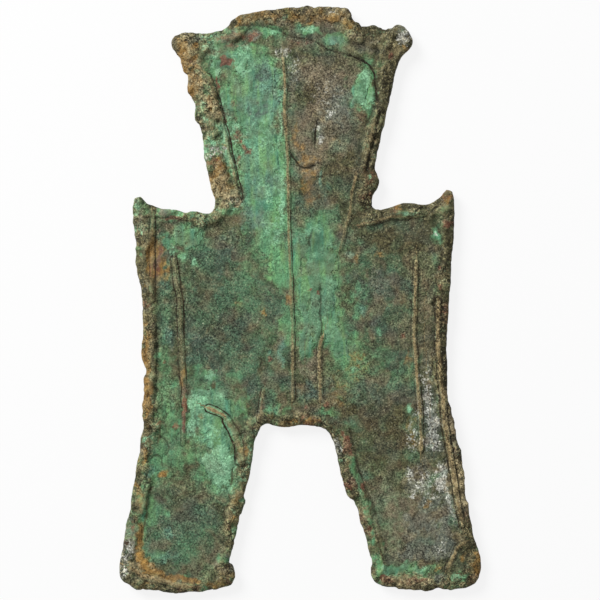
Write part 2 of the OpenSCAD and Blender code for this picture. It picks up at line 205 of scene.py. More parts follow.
# Stains of the obverse, each a soft ellipse: x, y, half width, half height, strength, and a turn clockwise in
# degrees where it has one
STAINS = {
    # dull brown-grey, where a dusty film lies on the bronze
    "drab": [
        (2, 17.5, 3.6, 3.4, 0.9), (0.8, 13.5, 2, 2.6, 0.8), (0.6, 11.2, 1.4, 1.2, 0.95),
        (3.5, 14, 2.2, 2.6, 0.7), (2.5, 20, 3.4, 0.9, 0.3, 6), (8.5, -18.5, 3, 4.4, 0.72, -12),
        (6.5, -16, 1.6, 2, 0.5), (-1.5, -9.3, 2.2, 0.7, 0.6), (0.9, -5.6, 1, 1.8, 0.7),
        (-6, -5.2, 2.4, 1.4, 0.5), (-9.5, 21.4, 1.2, 0.7, 0.6), (-11.5, 6.2, 0.8, 0.5, 0.6),
        (5, 21.6, 2.6, 0.7, 0.5), (10.6, -2, 0.6, 5, 0.5), (-8.3, -12.2, 0.9, 1.2, 0.3),
        (-10, -18, 2.6, 2.2, 0.4), (-7.5, -20.5, 1.8, 2, 0.5), (8.6, -2.5, 1, 3, 0.4),
        (12.9, -10, 1, 4.4, 1, -8), (13.8, -15.6, 1, 3, 1, -12), (1, 23.6, 4.6, 0.8, 0.75),
    ],
    # dark green, where the crust is thin
    "moss": [
        (-6.6, -1.6, 3.4, 5.4, 1), (-7.2, 3.6, 2.6, 2, 1), (-8.2, 6.2, 1, 0.6, 0.6),
        (-11.3, 0, 0.9, 6, 0.7), (-11.6, -12, 1, 4, 0.5, 6), (-9.8, -19, 3.2, 3.6, 0.75, 8),
        (7, -1, 2.2, 6, 0.5), (-2.8, -6, 1.8, 3, 0.75), (4.6, -8.6, 1.6, 1.4, 0.5),
        (2.6, 9.6, 0.8, 2.4, 0.4), (5, 2, 1.4, 3, 0.4),
    ],
    # dark olive, where the surface is smooth or holds soil
    "umber": [
        (8.6, 5.1, 2.8, 1.4, 1), (7.2, 17.8, 0.9, 3, 1, 12), (5.9, 12.6, 0.8, 3.4, 1, 13),
        (5.5, 9, 1.1, 1.8, 1), (5.2, 22.7, 1.2, 0.6, 1), (6.4, 22, 1.3, 0.6, 0.95),
        (-5.5, 22.8, 0.8, 0.5, 0.95), (12.4, 4, 0.6, 4, 1), (12, -2.4, 0.6, 4.4, 1),
        (11.3, 7.8, 1.4, 0.7, 1, -15), (9, 7.8, 2, 0.4, 1), (0.5, -9.5, 0.9, 0.4, 0.9), (7.2, 7, 1, 0.5, 1),
        (0, -9.9, 2.7, 0.55, 0.85), (14.1, -19.2, 0.5, 1.6, 0.9, -14), (8, -14.8, 1, 1.2, 0.8),
        (10.8, 6.4, 1.1, 0.6, 0.85), (6.5, 7, 0.8, 0.5, 0.9), (4.2, 11.4, 0.8, 1.3, 0.85),
        (4.2, 7, 0.6, 0.9, 0.75), (-7, -23.9, 1.2, 0.35, 0.9), (2.6, -10.5, 0.6, 0.4, 0.8, -20),
        (7.3, 20, 0.8, 1, 0.6), (0.2, 17.2, 1.2, 1.2, 1), (3, 10, 1.3, 2.4, 0.8),
        (5, 13.8, 0.8, 1.8, 0.95, 10), (4.4, 22.8, 0.9, 0.5, 1), (7, -11, 3, 3.2, 0.8),
        (4.2, -9.4, 1.6, 1.2, 0.8), (-7.5, 1.4, 1.4, 1.8, 0.6), (-6.6, -1.6, 3, 4, 0.3),
        (10.6, -1.5, 0.6, 4, 0.45), (-6.5, -2.4, 2, 1.2, 0.5), (-3.4, -5.2, 0.9, 1.6, 0.6),
        (-13.1, 1.6, 0.8, 4.2, 1, 2), (-13, -11.8, 0.7, 1.8, 0.95), (2.4, 20, 2.4, 0.7, 0.6, 22),
        (-7.1, 7.8, 0.4, 0.5, 0.6), (6.2, 13.8, 0.9, 1.6, 1, 13), (-10, -23.9, 4.6, 0.3, 0.3, 2),
        (9.4, -23.8, 4, 0.25, 0.6), (14.4, -20.6, 0.45, 1.6, 0.6, -16), (-4.6, -15, 0.4, 2.2, 0.7, -10),
        (3.2, -13, 0.3, 2.2, 0.6, -14), (0, -10.2, 2.6, 0.25, 0.7), (7, 7.3, 1.2, 0.3, 0.8),
        (12.6, 3, 0.2, 3, 0.4), (10, -21.8, 2.6, 0.4, 0.6, 2), (-9.5, -16.8, 1.8, 0.8, 0.5),
        (-7.3, -7.1, 0.35, 0.25, 0.9), (4.4, 0.9, 0.8, 1.2, 0.6), (0.9, 5, 0.3, 0.5, 0.5),
        (-14.7, -21.5, 0.22, 0.5, 1), (-0.6, 23.4, 5, 0.8, 0.3),
    ],
    # blue-grey, where tin oxide shows through the green
    "slate": [
        (-3.3, 18.9, 0.8, 1.1, 0.9), (-3.6, 15.8, 0.8, 0.7, 1), (-4.2, 6.9, 1, 1, 0.6),
        (0.9, -7.7, 1, 0.6, 0.8), (-7.8, 0.6, 1.6, 1.4, 0.35), (-6, 4.8, 1.8, 0.8, 0.3),
        (-7, -3.4, 2, 1.4, 0.5), (-3.4, -6.4, 1, 1.6, 0.4), (6.6, 0.6, 1.6, 1.6, 0.4),
        (6.4, -7.6, 2, 1.4, 0.4), (-12, -20.4, 1, 1.2, 0.5), (-8.6, -17.4, 1.6, 1, 0.4),
        (5.2, -10, 0.8, 1.6, 0.5), (-2.4, 9.4, 0.8, 1.2, 0.35),
    ],
    # lilac-grey bloom of tin oxide
    "grey": [
        (7, 1, 1.2, 1.6, 0.5), (6.4, -1.8, 0.7, 0.5, 0.6), (10.5, -5.6, 0.5, 1.8, 0.4),
        (11.8, -23, 0.7, 0.5, 0.85), (11.8, -12.4, 0.7, 0.8, 0.85), (12.2, -19.4, 0.8, 2, 0.95, -12),
        (12.5, -17.2, 0.5, 1.6, 1, -12), (9.4, -19.6, 1.4, 1.6, 0.4), (-12.3, -20.6, 0.8, 0.6, 0.5),
        (8.6, 22.2, 0.7, 0.6, 0.7), (-8.6, 21.8, 0.8, 0.4, 0.6), (-4, 22, 0.9, 0.5, 0.8),
        (-6, 21.9, 1.2, 0.4, 0.6), (-0.4, 18.8, 0.7, 1.4, 0.6), (3, 15.8, 1.6, 1.8, 0.75),
        (10.2, -18.6, 1, 1.1, 0.8), (1.5, 14, 0.5, 1, 0.6), (-5.8, 8.4, 0.7, 0.5, 0.6),
        (-7, 12.3, 0.9, 0.6, 0.6), (-14.3, -21, 0.55, 1.6, 1, 5), (-14.6, -22.6, 0.4, 0.6, 0.9),
        (11.6, -20.4, 1.3, 1.4, 1), (9.8, -20.9, 1.6, 1, 1), (11, -17, 1, 1.1, 0.9),
        (10.9, -9.6, 0.9, 2.6, 0.7, -6), (11.8, -14.8, 0.7, 1.2, 0.8), (13.5, -15.2, 0.5, 1.8, 0.5, -12),
        (9.8, -15.2, 1, 1.4, 0.6), (3.3, -12.3, 0.2, 0.9, 0.8, -14),
    ],
    "malachite": [
        # head, left of the spine
        (-3.4, 17.2, 2.2, 3.4, 1), (-3.2, 12.4, 2.1, 4.4, 1, -6), (-2.8, 8.4, 1.9, 2.6, 1),
        (-5.8, 19.8, 1.6, 1.4, 0.85), (-4.4, 20.4, 1.8, 0.7, 0.8), (-5.2, 16.2, 1.1, 3, 0.85, -12),
        (-4.6, 11, 0.9, 2.6, 0.85, -12),
        # top of the head, sprue and left rim
        (-2.4, 22.2, 1.1, 0.5, 1), (0.7, 22.45, 1.2, 0.38, 0.95), (2.8, 21.75, 1.1, 0.5, 0.75, 10),
        (-6.9, 21.6, 1, 0.7, 0.85), (-5, 22.4, 0.6, 0.3, 0.75), (-3.3, 22.6, 0.5, 0.25, 0.7),
        (6.8, 22.3, 0.4, 0.15, 0.5), (-1.1, 23.9, 0.45, 0.4, 0.7), (-7.9, 18.6, 0.5, 3, 0.6, -12),
        (-7, 19, 0.6, 0.9, 0.9, -12), (-8.3, 15.8, 0.35, 0.8, 0.6, -14), (-7.5, 12.7, 0.9, 1.1, 0.95),
        (-5.9, 12.6, 0.6, 3.4, 0.65, -12), (-7, 14, 0.3, 1.4, 0.5, -14),
        # head, right corner
        (5.3, 17.7, 1.2, 2, 0.95, 4), (-6.2, 16.8, 0.6, 1.4, 0.8, -14), (5.7, 15, 0.3, 1.2, 0.5, 8),
        # left shoulder
        (-10.3, 7.3, 3.2, 0.7, 1, 3), (-13.5, 7.6, 0.5, 1.1, 0.5), (-9.8, 5, 1.8, 1.1, 0.9),
        (-8.8, 3.2, 0.5, 0.4, 0.7), (-6, 7.6, 1, 0.6, 0.6), (-9.7, 3.6, 0.4, 0.5, 0.6),
        # middle of the blade
        (-2.6, 5.8, 1.9, 2.5, 0.95), (0.5, -3.4, 0.7, 1.7, 0.95), (-2.2, 1.8, 0.9, 1, 0.9),
        (7.2, -5, 1, 1.2, 0.4), (-1.5, 2.6, 1.5, 2.4, 1), (-0.3, 3.4, 0.9, 1.8, 0.95),
        (-0.9, -1.6, 0.7, 1.8, 0.8), (1.2, 5.2, 1.9, 2.2, 0.9), (1.9, 1.8, 1.9, 3, 0.95),
        (2, -1.6, 1.7, 2.2, 0.9), (0.3, 0, 0.8, 4, 0.8), (3.4, -3.6, 1.4, 2.4, 0.85),
        (4.4, -5, 1.4, 2.2, 0.62), (3.8, -7, 2, 1.8, 0.3), (-1.1, -3.4, 0.5, 1.6, 0.5),
        (6.6, -2.7, 0.35, 0.5, 0.8), (-5.2, -0.5, 0.9, 0.8, 0.5), (-3, 7.4, 2, 1, 0.9),
        # left side of the blade, thin
        (-6.5, 0, 3.6, 5, 0.12), (-2.4, -4, 1.6, 4.5, 0.25), (-1.8, -9.3, 1.1, 0.5, 0.8, 10),
        (-11.3, -2.6, 0.7, 3.4, 0.3), (-4.4, 4.6, 1.6, 2, 0.2), (-4, 2, 1.6, 2, 0.3),
        (-7.4, -6.3, 0.6, 0.5, 0.8), (-11.8, -4.6, 0.3, 0.4, 0.8),
        # left leg
        (-7.5, -9.6, 2.1, 2.6, 1), (-6.7, -13.2, 1.6, 3.6, 1, -10), (-11.2, -9.4, 0.7, 0.8, 0.7),
        (-12.6, -14.3, 0.4, 0.7, 0.6), (-12, -17.4, 0.9, 0.7, 0.6), (-8.2, -15, 0.6, 0.6, 0.7),
        (-13, -16.4, 0.35, 0.6, 0.6), (-9.5, -19.5, 3, 3.4, 0.18), (-9.2, -12.4, 0.9, 1, 0.6),
        (-9.2, -9.5, 0.7, 1.7, 0.9), (-10.2, -7.4, 0.6, 1.2, 0.6), (-13, -17.2, 0.7, 2.6, 0.9, 6),
        (-5.6, -6.6, 1, 0.9, 0.6), (-8.4, -5.8, 0.9, 0.8, 0.55), (-4.8, -8.8, 0.9, 1.4, 0.7),
        (-5.6, -11.6, 0.6, 1, 0.8), (-4.1, -11.8, 0.4, 0.8, 0.6), (-12.3, -18, 0.7, 1.2, 0.7),
        (-10.3, -11.8, 0.7, 3, 0.6), (-11, -5.6, 0.7, 1.4, 0.5), (-5.5, -19, 0.35, 0.8, 0.8, -8),
        (-6.3, -21.5, 0.4, 0.7, 0.75), (-9.6, -23.1, 0.5, 0.25, 0.8), (-4.65, -16.8, 0.35, 0.35, 0.8),
        (-11.4, -9.5, 1.1, 5.5, 0.55), (-11.8, -13.5, 1, 2.4, 0.65), (-14.2, -19, 0.35, 2, 0.6, 6),
        # arch and the inner edge of the right leg
        (2.4, -9.3, 0.6, 0.5, 0.8), (3.3, -9.6, 0.5, 0.7, 0.15), (4.5, -14, 0.4, 1.1, 1, -18),
        (5.05, -15.6, 0.3, 0.9, 0.9, -20), (5.45, -17.3, 0.4, 1.2, 0.85, -16),
        (5.95, -18.8, 0.35, 0.9, 1, -14), (6.45, -20.8, 0.42, 1.4, 1, -14), (6.95, -22.3, 0.5, 0.9, 1, -16),
        # right sole
        (9.2, -22.55, 2, 0.55, 1, 2), (7.3, -22.5, 0.6, 0.5, 1), (13.1, -23.05, 0.9, 0.45, 1),
        (-9, -23.7, 2.4, 0.3, 0.65, 2), (-13, -20, 0.5, 1.2, 0.6, 6), (-12.2, -21.4, 0.8, 0.6, 0.6),
        (8.8, -5.8, 0.7, 1, 0.4), (11.6, -22.9, 0.5, 0.3, 0.5),
        # right shoulder, side and leg
        (8.7, 7.1, 1.2, 0.3, 0.75), (10.4, 7.2, 0.9, 0.4, 0.3, -20), (11.2, 5.6, 0.55, 0.8, 0.8),
        (11.9, 7.4, 0.3, 0.6, 0.45, -20), (12.5, 5.5, 0.25, 0.7, 0.75), (12.4, 2.8, 0.2, 0.7, 0.7),
        (12.2, 0.5, 0.2, 0.9, 0.7), (4.6, -10, 0.8, 0.8, 0.5), (6, -12, 2.6, 2.6, 0.1),
        (9.1, -9, 0.25, 0.42, 0.95), (7.2, -18, 2, 3, 0.2), (4.8, 1, 1, 1.2, 0.6), (5.2, -1, 0.9, 0.8, 0.6),
        (3.1, 4.2, 1, 1.2, 0.4),
    ],
    # bluer green
    "teal": [
        (-2.6, 17.4, 1.2, 2.4, 0.85), (-4, 16, 0.8, 1.4, 0.7), (-3.2, 9.4, 1.2, 1.4, 0.7),
        (-3.6, 6.8, 1, 1, 0.8), (-2, 18.3, 0.5, 0.9, 0.8), (5, 11.5, 0.3, 0.4, 0.7),
        (1.75, 10.2, 0.14, 0.7, 0.8), (2.2, 9, 0.3, 1.4, 0.4), (-11, -3, 0.4, 0.8, 0.7),
        (5.2, -1, 0.5, 0.5, 0.6), (4.2, 3.8, 0.4, 0.3, 0.7), (-1.5, -4.5, 0.3, 1.6, 0.7),
        (0.9, -7.7, 0.8, 0.6, 0.3), (4.5, -10, 0.5, 0.5, 0.6), (-12.6, -14.3, 0.4, 0.5, 0.8),
        (-11, -19.3, 0.7, 0.4, 0.6), (-11.6, -21.2, 0.7, 0.6, 0.5), (8.6, 7.05, 0.9, 0.24, 0.6),
        (2.8, 21.7, 0.9, 0.4, 0.6, 8), (-2.5, -4.4, 0.25, 0.25, 0.7),
    ],
    # powdery pale green
    "pale_green": [
        (-6.9, 19.2, 0.35, 0.5, 1), (-7, 20.5, 0.4, 0.4, 0.9), (-4.6, 20.9, 0.7, 0.3, 0.95),
        (-4.8, 19.1, 0.35, 0.5, 1), (-2.3, 22.35, 0.6, 0.22, 0.8), (0.7, 22.45, 0.9, 0.24, 0.8),
        (-1.6, 14.8, 0.15, 2, 0.9), (-1.5, 8.5, 0.3, 2.6, 0.6), (-2.5, 11.5, 1.2, 2.4, 0.2),
        (-8.5, -8, 0.7, 0.5, 0.95), (-6.4, -7.9, 0.4, 0.3, 0.9), (-9.1, -10.2, 0.4, 1.2, 0.9),
        (-7.2, -13.2, 0.8, 0.6, 0.9), (-6.4, -14.8, 0.6, 0.9, 0.9, -8), (-6, -16, 0.3, 0.5, 0.8),
        (-7.4, -6.3, 0.35, 0.35, 1), (-7.6, -10.6, 1.4, 1.5, 0.45), (-6.6, -13.8, 1.1, 2.2, 0.8, -10),
        (-3.2, 14.4, 1.2, 1.6, 0.35), (-2.6, 9.2, 1, 1.2, 0.5), (-6.1, 12.8, 0.5, 2.6, 0.75, -12),
        (-7.6, 13, 0.7, 0.8, 0.55), (-8.4, -8.7, 0.9, 0.8, 0.75), (5.6, 17.4, 0.7, 1.4, 0.5),
        (-4.6, 19.8, 1, 0.9, 0.5), (-5.5, 8.1, 0.7, 0.7, 0.8), (-6.3, 15.4, 0.5, 1.4, 0.4, -14),
        (-5.3, 13.8, 0.4, 1.2, 0.6, -12), (-7.6, 21.2, 0.6, 0.5, 0.6), (9.1, -9, 0.2, 0.35, 1),
        (13.2, -23.05, 0.5, 0.22, 0.8), (7, -22.4, 0.25, 0.3, 0.8), (10.4, -22.5, 0.4, 0.2, 0.7),
        (5.3, 18.8, 0.4, 0.4, 0.5), (5.7, 16.8, 0.35, 0.5, 0.4), (11.3, 5.5, 0.2, 0.25, 1),
        (5.8, 10.2, 0.14, 0.25, 1), (9.4, 7.2, 0.7, 0.16, 0.6), (-10.6, 4.2, 0.26, 0.42, 0.9, 12),
        (-8.8, 3.2, 0.3, 0.25, 0.8), (1.2, 6, 0.8, 0.5, 0.5), (-2.4, 5.8, 0.8, 1, 0.5),
        (6.6, -2.7, 0.22, 0.35, 0.9), (-9.8, 3.4, 0.2, 0.25, 0.7),
    ],
    "ochre": [
        # left rim of the head
        (-9.4, 20.2, 0.8, 1.6, 1, -14), (-9, 18.2, 0.8, 1.8, 1, -12), (-8.3, 18.2, 0.3, 0.5, 0.9),
        (-7.45, 16.2, 0.28, 0.7, 1, -14), (-8.4, 14.5, 0.4, 1.2, 0.9, -18), (-6.7, 10.2, 0.9, 1.6, 1, -8),
        (-6.1, 9, 0.7, 0.8, 0.8), (-9.3, 16.6, 0.2, 1, 0.5, -16), (-6.3, 12.9, 0.3, 0.3, 0.7),
        (-5.9, 8.5, 0.5, 0.3, 0.6), (-7.2, 9.9, 0.2, 1, 0.6),
        # sprue and the middle of the head
        (-2, 23.5, 3.4, 0.7, 0.5, -5), (1.4, 23.6, 3, 0.8, 0.45), (3, 23.5, 1, 0.6, 0.65),
        (4.2, 22.8, 0.7, 0.5, 0.5), (-4.9, 23.2, 0.6, 0.5, 0.6, -30), (0.6, 9.2, 1, 2.4, 0.52),
        (-0.3, 14, 0.4, 1.4, 0.5), (0, 12.6, 0.5, 0.6, 0.5), (0.5, 11.3, 1, 0.8, 0.6),
        (3.2, 13.4, 0.5, 0.5, 0.4),
        # left edge of the blade
        (-12.75, -4.5, 0.5, 2.4, 0.95), (-12.75, -8, 0.5, 2.2, 1), (-12.9, 0.6, 0.4, 2.6, 0.2),
        (-13, -13, 0.3, 1, 0.7, -4), (-13.5, -16, 0.3, 1, 0.6, -8), (-13.1, -10, 0.2, 0.6, 0.6),
        (-13.5, 2.8, 0.2, 1.2, 0.3), (-11.6, 3, 0.6, 2.2, 0.85, 3), (-12.2, 3.6, 0.5, 2.4, 0.8),
        (14.7, -22, 0.5, 0.9, 0.8),
        # small spots
        (-1, 0, 0.25, 0.6, 0.9), (-3.1, -1, 0.4, 0.38, 0.95), (-9.75, -6.5, 0.2, 1.5, 0.8),
        (-11.5, -14.5, 0.4, 0.28, 0.8, -20), (4.8, 3.4, 0.5, 0.35, 0.6), (6.5, 3.7, 0.5, 0.3, 0.6),
        (4.6, -5.4, 1.1, 1.6, 0.45), (3.2, -7.4, 1.2, 1.2, 0.35), (9, -5, 0.35, 1.2, 0.5),
        (8.5, 0, 0.5, 0.9, 0.35), (-5.2, -0.5, 0.4, 0.4, 0.4), (-8.5, -9.8, 0.35, 0.3, 0.45),
        (-4.6, -12.5, 0.35, 0.7, 0.7, -6),
        # left foot
        (-13.4, -20, 0.4, 1.6, 0.9, 6), (-13.2, -21.8, 0.6, 1, 1), (-12.7, -22.5, 1, 0.5, 1, 25),
        (-11.2, -23.1, 1.5, 0.4, 1, 10), (-9.4, -23.4, 1.4, 0.32, 0.95, 5), (-7.8, -23.5, 1, 0.2, 0.5),
        (-5.8, -22.9, 0.3, 0.4, 0.5),
        # arch, right shoulder and right leg
        (0.9, -10.1, 0.8, 0.25, 0.8), (-1, -10.2, 0.9, 0.22, 0.6), (12.2, 8.5, 0.3, 0.4, 0.7),
        (14.8, -22.5, 0.25, 0.6, 0.75), (10.5, -14.5, 0.4, 0.4, 0.5), (10.5, -17.2, 0.45, 0.5, 0.6),
        (9.4, -11, 0.4, 1.8, 0.5), (13.6, -21.4, 0.4, 0.6, 0.55), (11.5, -22.4, 0.4, 0.3, 0.6),
        (8.2, 7.6, 0.4, 0.22, 0.7), (13.8, -16.8, 0.2, 1.6, 0.4, -14), (8.8, 21, 0.3, 0.3, 0.6),
    ],
    # red copper oxide
    "cuprite": [
        (-6.1, 19.8, 0.5, 0.5, 0.9), (-7, 18.1, 0.22, 0.7, 0.85, -12), (-4.2, 22.1, 1, 0.35, 0.55),
        (-6.2, 22, 1.5, 0.35, 0.6), (0, 21.6, 1.4, 0.3, 0.5, 4), (-5.6, 21.2, 1, 0.2, 0.6, 6),
        (-6.2, 15.2, 0.14, 0.9, 0.6, -14), (-5.2, 13.6, 0.4, 1, 0.65, -12), (-4.6, 12.4, 0.4, 0.5, 0.7),
        (-5, 11.6, 0.25, 0.6, 0.6, -12), (-5.5, 16.5, 0.3, 0.4, 0.5), (4.8, 15.2, 0.6, 0.8, 0.4),
        (7.6, 20.4, 0.28, 0.42, 0.9, 16), (-10.5, 6.7, 1.3, 0.2, 0.75, 3), (-11.7, 3.2, 0.35, 1.8, 0.75, 3),
        (-12.4, 2.4, 0.12, 0.6, 0.8), (-11.8, 5.7, 0.22, 0.3, 0.8), (-11.3, -5, 0.2, 0.3, 0.6),
        (-9.65, -9, 0.2, 2.4, 0.95), (-11.7, -10.3, 0.3, 0.3, 0.75), (-10.3, -10.5, 0.25, 0.25, 0.7),
        (12.1, 6.5, 0.45, 0.32, 1), (11.6, 2.7, 0.18, 0.35, 0.8), (11.6, 1.2, 0.2, 0.3, 0.75),
        (1.4, 0.6, 0.2, 0.25, 0.7), (0.8, 0.8, 0.15, 0.15, 0.6), (8.6, -3, 0.25, 0.35, 0.6),
        (0.4, -8.8, 0.3, 0.25, 0.8), (2.2, -8.7, 0.3, 0.25, 0.85), (3.85, -12, 0.34, 1.3, 0.95, -16),
        (4.45, -15.3, 0.42, 0.5, 1), (5.2, -15.6, 0.26, 0.45, 1), (5.75, -19.1, 0.22, 0.5, 0.8, -14),
        (7.3, -23.2, 0.6, 0.32, 0.95), (9.6, -23.45, 1.3, 0.3, 0.95), (10.8, -23.4, 0.35, 0.2, 0.75),
        (-2.6, -4.9, 0.2, 0.35, 0.8), (-3.2, -9, 0.25, 0.7, 0.55), (-9.2, 19.8, 0.2, 0.3, 0.7),
        (-0.95, -0.2, 0.15, 0.3, 0.6), (5, 6.2, 0.3, 0.2, 0.5), (-4.6, -13.6, 0.2, 0.5, 0.4),
    ],
    # white lead carbonate
    "lead": [
        (-1.5, 20.6, 0.7, 0.5, 0.55), (-0.5, 19, 0.5, 1.2, 0.28), (1.4, 14.5, 0.28, 0.4, 0.8),
        (1.6, 13.4, 0.25, 0.35, 0.8), (2.5, 15.5, 0.4, 0.3, 0.7), (2.4, 17, 1.6, 1.4, 0.14),
        (8.7, 22.1, 0.6, 0.7, 0.8), (2.8, 24.05, 0.3, 0.12, 0.8), (-7, 12.3, 0.8, 0.5, 0.45),
        (-5.6, 8.3, 0.4, 0.35, 0.5), (10.6, -8.6, 0.6, 2.6, 0.45, -4), (11.05, -10.6, 0.6, 2, 1, -6),
        (9.3, -11.2, 0.45, 1.8, 0.32), (11.9, -14.8, 0.6, 1.2, 1, -6), (10.2, -15.2, 1.1, 1.3, 0.5),
        (9.3, -16.3, 0.25, 0.35, 0.8), (12.3, -16.4, 0.35, 0.8, 0.75, -14),
        (12.7, -18, 0.32, 0.7, 0.75, -14), (-14.3, -20.8, 0.35, 1.2, 0.7, 5),
        (-14.6, -22.5, 0.3, 0.5, 0.75), (11.9, -20.6, 0.6, 0.8, 0.4), (3.3, -12.2, 0.16, 0.7, 0.7, -14),
        (11.3, 5.5, 0.14, 0.16, 0.9), (10.6, -11.8, 0.5, 0.7, 0.6), (9, -14.4, 0.3, 0.4, 0.7),
    ],
    # pale dusty film
    "chalk": [
        (-8.6, 18.5, 0.8, 3.4, 0.5, -13), (-8.3, 14.6, 0.5, 1.4, 0.4, -18), (-6.6, 9.6, 1, 2, 0.65, -8),
        (1.3, 15.4, 0.9, 0.9, 0.35), (-5.6, 8.4, 0.8, 0.8, 0.7), (13.1, -14.8, 0.8, 2.2, 0.9, -14),
        (12.4, -10.2, 0.5, 1.6, 0.5, -8), (-10.5, -23.6, 3.4, 0.4, 0.42, 3), (9.4, -23.4, 2.6, 0.6, 0.5),
        (-7.3, 16.2, 0.7, 1.8, 0.6, -14), (-13.9, -21.6, 0.5, 1.2, 0.4), (-13.8, -22.4, 0.7, 1, 0.6),
        (-9.2, 22, 1, 0.5, 0.5), (-12.6, -22.6, 1, 0.5, 0.35, 20),
    ],
}
# Where the rim of the head is broader than elsewhere
BROAD_RIM = [
    (-7.8, 17, 1.2, 6, 1, -13), (-6.6, 10, 0.9, 3, 0.7, -12), (0, 21.8, 7.4, 0.9, 0.7),
    (7, 20.4, 1.2, 1.8, 1), (6.6, 14, 0.8, 5, 0.4, 13),
]

# Crusts: the stain that each one thickens, its thickness, and how strong the stain is at its edge
CRUSTS = {
    "malachite_crust_head_left": ("malachite", 0.08, 0.66),
    "malachite_crust_head_right": ("malachite", 0.1, 0.6),
    "malachite_crust_middle": ("malachite", 0.08, 0.66),
    "malachite_crust_shoulder": ("malachite", 0.08, 0.5),
    "malachite_crust_left_leg": ("malachite", 0.09, 0.66),
    "malachite_crust_right_sole": ("malachite", 0.1, 0.6),
    "earth_crust_head": ("ochre", 0.12, 0.5),
    "earth_crust_left_sole": ("ochre", 0.12, 0.55),
    "earth_crust_sprue": ("ochre", 0.14, 0.3),
    "lead_crust_right_leg": ("lead", 0.05, 0.45),
}
# How deep a crust is rooted, how far its lip is sunk, and how far it stays inside the coin's edge
CRUST_ROOT = 0.012
CRUST_LIP = 0.001
CRUST_INSET = 0.35
# A crust stays in its node's box: how far it may pass the sides, where it is full inside them, how far they
# wander, where its thickness is full, and how far its stain's edge frays
CRUST_OVERLAP = 0.5
CRUST_WINDOW = 0.4
CRUST_WANDER = 1.2
CRUST_FADE = 2.5
CRUST_FRAY = 0.35

# Noise: numbers along a side of its tile, turn of the first octave and of each further one, and how far apart
# the octaves' seeds are
GRAIN_TILE = 256
GRAIN_TURN = 0.6
GRAIN_TURN_STEP = 0.9
GRAIN_SEED_STEP = 100

# Edges of stains: coarse and fine wander, the fine one's share, how far they go in half widths, the half
# width at which that stops growing, and the half widths between which a stain fades
STAIN_WANDER = 1.1
STAIN_FRAY = 0.35
STAIN_FRAY_SHARE = 0.7
STAIN_REACH = 1.8
STAIN_REACH_LIMIT = 0.8
STAIN_FADE = (0.4, 1.4)

# The outline is eaten in and swollen out: a slow waver all round, and a fray that comes in stretches, more so
# above the neck
OUTLINE_SWELL = 0.03
OUTLINE_WAVER = 0.18
FRAY_LEAST = 0.06
FRAY_MORE = 0.24
FRAY_ON_HEAD = 0.12
NECK_Y = (6, 10)
# Where the stub of the sprue starts and is full
STUB_Y = (22.5, 23.1)

# The obverse's rim: width, further width where it is broad and where noise swells it, its slope from the
# crest down to the field, and how far that slope wanders
RIM_W = 0.75
RIM_BROADER = 0.8
RIM_SWELL = 0.7
RIM_SLOPE_OUT = 0.5
RIM_SLOPE_IN = 0.3
RIM_WANDER = 0.9
# Its outer side: the share of its height at the very edge, and the shares of its width between which it rises
BEVEL_FOOT = 0.2
BEVEL = (0.1, 0.95)
# The reverse's rim: where it starts and ends to slope down, and how far that wanders
BACK_RIM_SLOPE = (0.65, 1.1)
BACK_RIM_WANDER = 0.3

# How far raised lines and cracks stray from their points, how uneven the lines' width and wear are, and a
# distance that no line's colour reaches
LINE_WANDER = 0.1
CRACK_WANDER = 0.3
LINE_UNEVEN = 0.44
WEAR_UNEVEN = 1.3
FAR_OFF = 9.0

# Lumps of corrosion on the obverse: height on the field, further height on the rim, size, seed, octaves
LUMPS = [
    (0.09, 0, 1.5, 51, 4),
    (0.06, 0, 7, 55, 2),
    (0.05, 0.2, 0.9, 53, 2),
    (0.04, 0.14, 0.35, 54, 1),
]
# Height of the lumps on the reverse, and reach of those on the coin's edge
BACK_LUMP_H = 0.1
EDGE_LUMPS = 0.15
# A groove along the foot of the rim, in stretches
GROOVE_AT = 0.1
GROOVE_WANDER = 0.5
GROOVE_HALF_W = 0.14
GROOVE_DEPTH = 0.07
# Flakes that stand up and fissures that run between them: height on the field, further height on the rim, and
# the fissures' half width in noise levels
FLAKE_H = (0.025, 0.1)
FISSURE_DEPTH = (0.01, 0.06)
FISSURE_HALF_W = 0.04

# Hollows and crests are told by the height over the mean of this many knots to each side, from faint to full
MEAN_REACH = 3
LIFT = (0.02, 0.1)
# The rim's flecks and the light on its crests change from the left side of the coin to the right, which they
# leave darker: partly painted shade. Where the one passes into the other
LEFT_TO_RIGHT = (-5, 3)
# Flecks on the rim: strength on the left, strength on the right, seed. More umber and less grey, ochre and
# pale green on the right paint shade on the right rims
RIM_FLECKS = {
    "umber": (0.2, 1.0, 106),
    "malachite": (0.7, 0.5, 101),
    "ochre": (0.5, 0.0, 102),
    "cuprite": (0.5, 0.45, 103),
    "pale_green": (0.45, 0.15, 104),
    "grey": (0.7, 0.1, 105),
}
# Stains of the reverse: strength, noise levels where they start and are full, size, seed
BACK_STAINS = {
    "drab": (0.8, 0.4, 0.7, 6, 70),
    "umber": (0.7, 0.5, 0.75, 5, 74),
    "grey": (0.6, 0.55, 0.75, 4, 78),
    "slate": (0.6, 0.5, 0.7, 5, 79),
    "moss": (0.8, 0.45, 0.65, 6, 80),
    "malachite": (0.9, 0.35, 0.65, 6, 71),
    "teal": (0.8, 0.58, 0.8, 5, 73),
    "pale_green": (0.9, 0.6, 0.8, 3, 72),
    "ochre": (0.9, 0.5, 0.75, 4, 75),
    "cuprite": (0.8, 0.66, 0.82, 2.5, 76),
    "lead": (0.5, 0.68, 0.85, 4, 77),
    "chalk": (0.4, 0.6, 0.8, 3, 82),
}

# The lattice
X, Y = np.meshgrid(
    np.arange(-HALF_W - MARGIN, HALF_W + MARGIN, STEP),
    np.arange(-HALF_H - MARGIN, HALF_H + MARGIN, STEP),
)


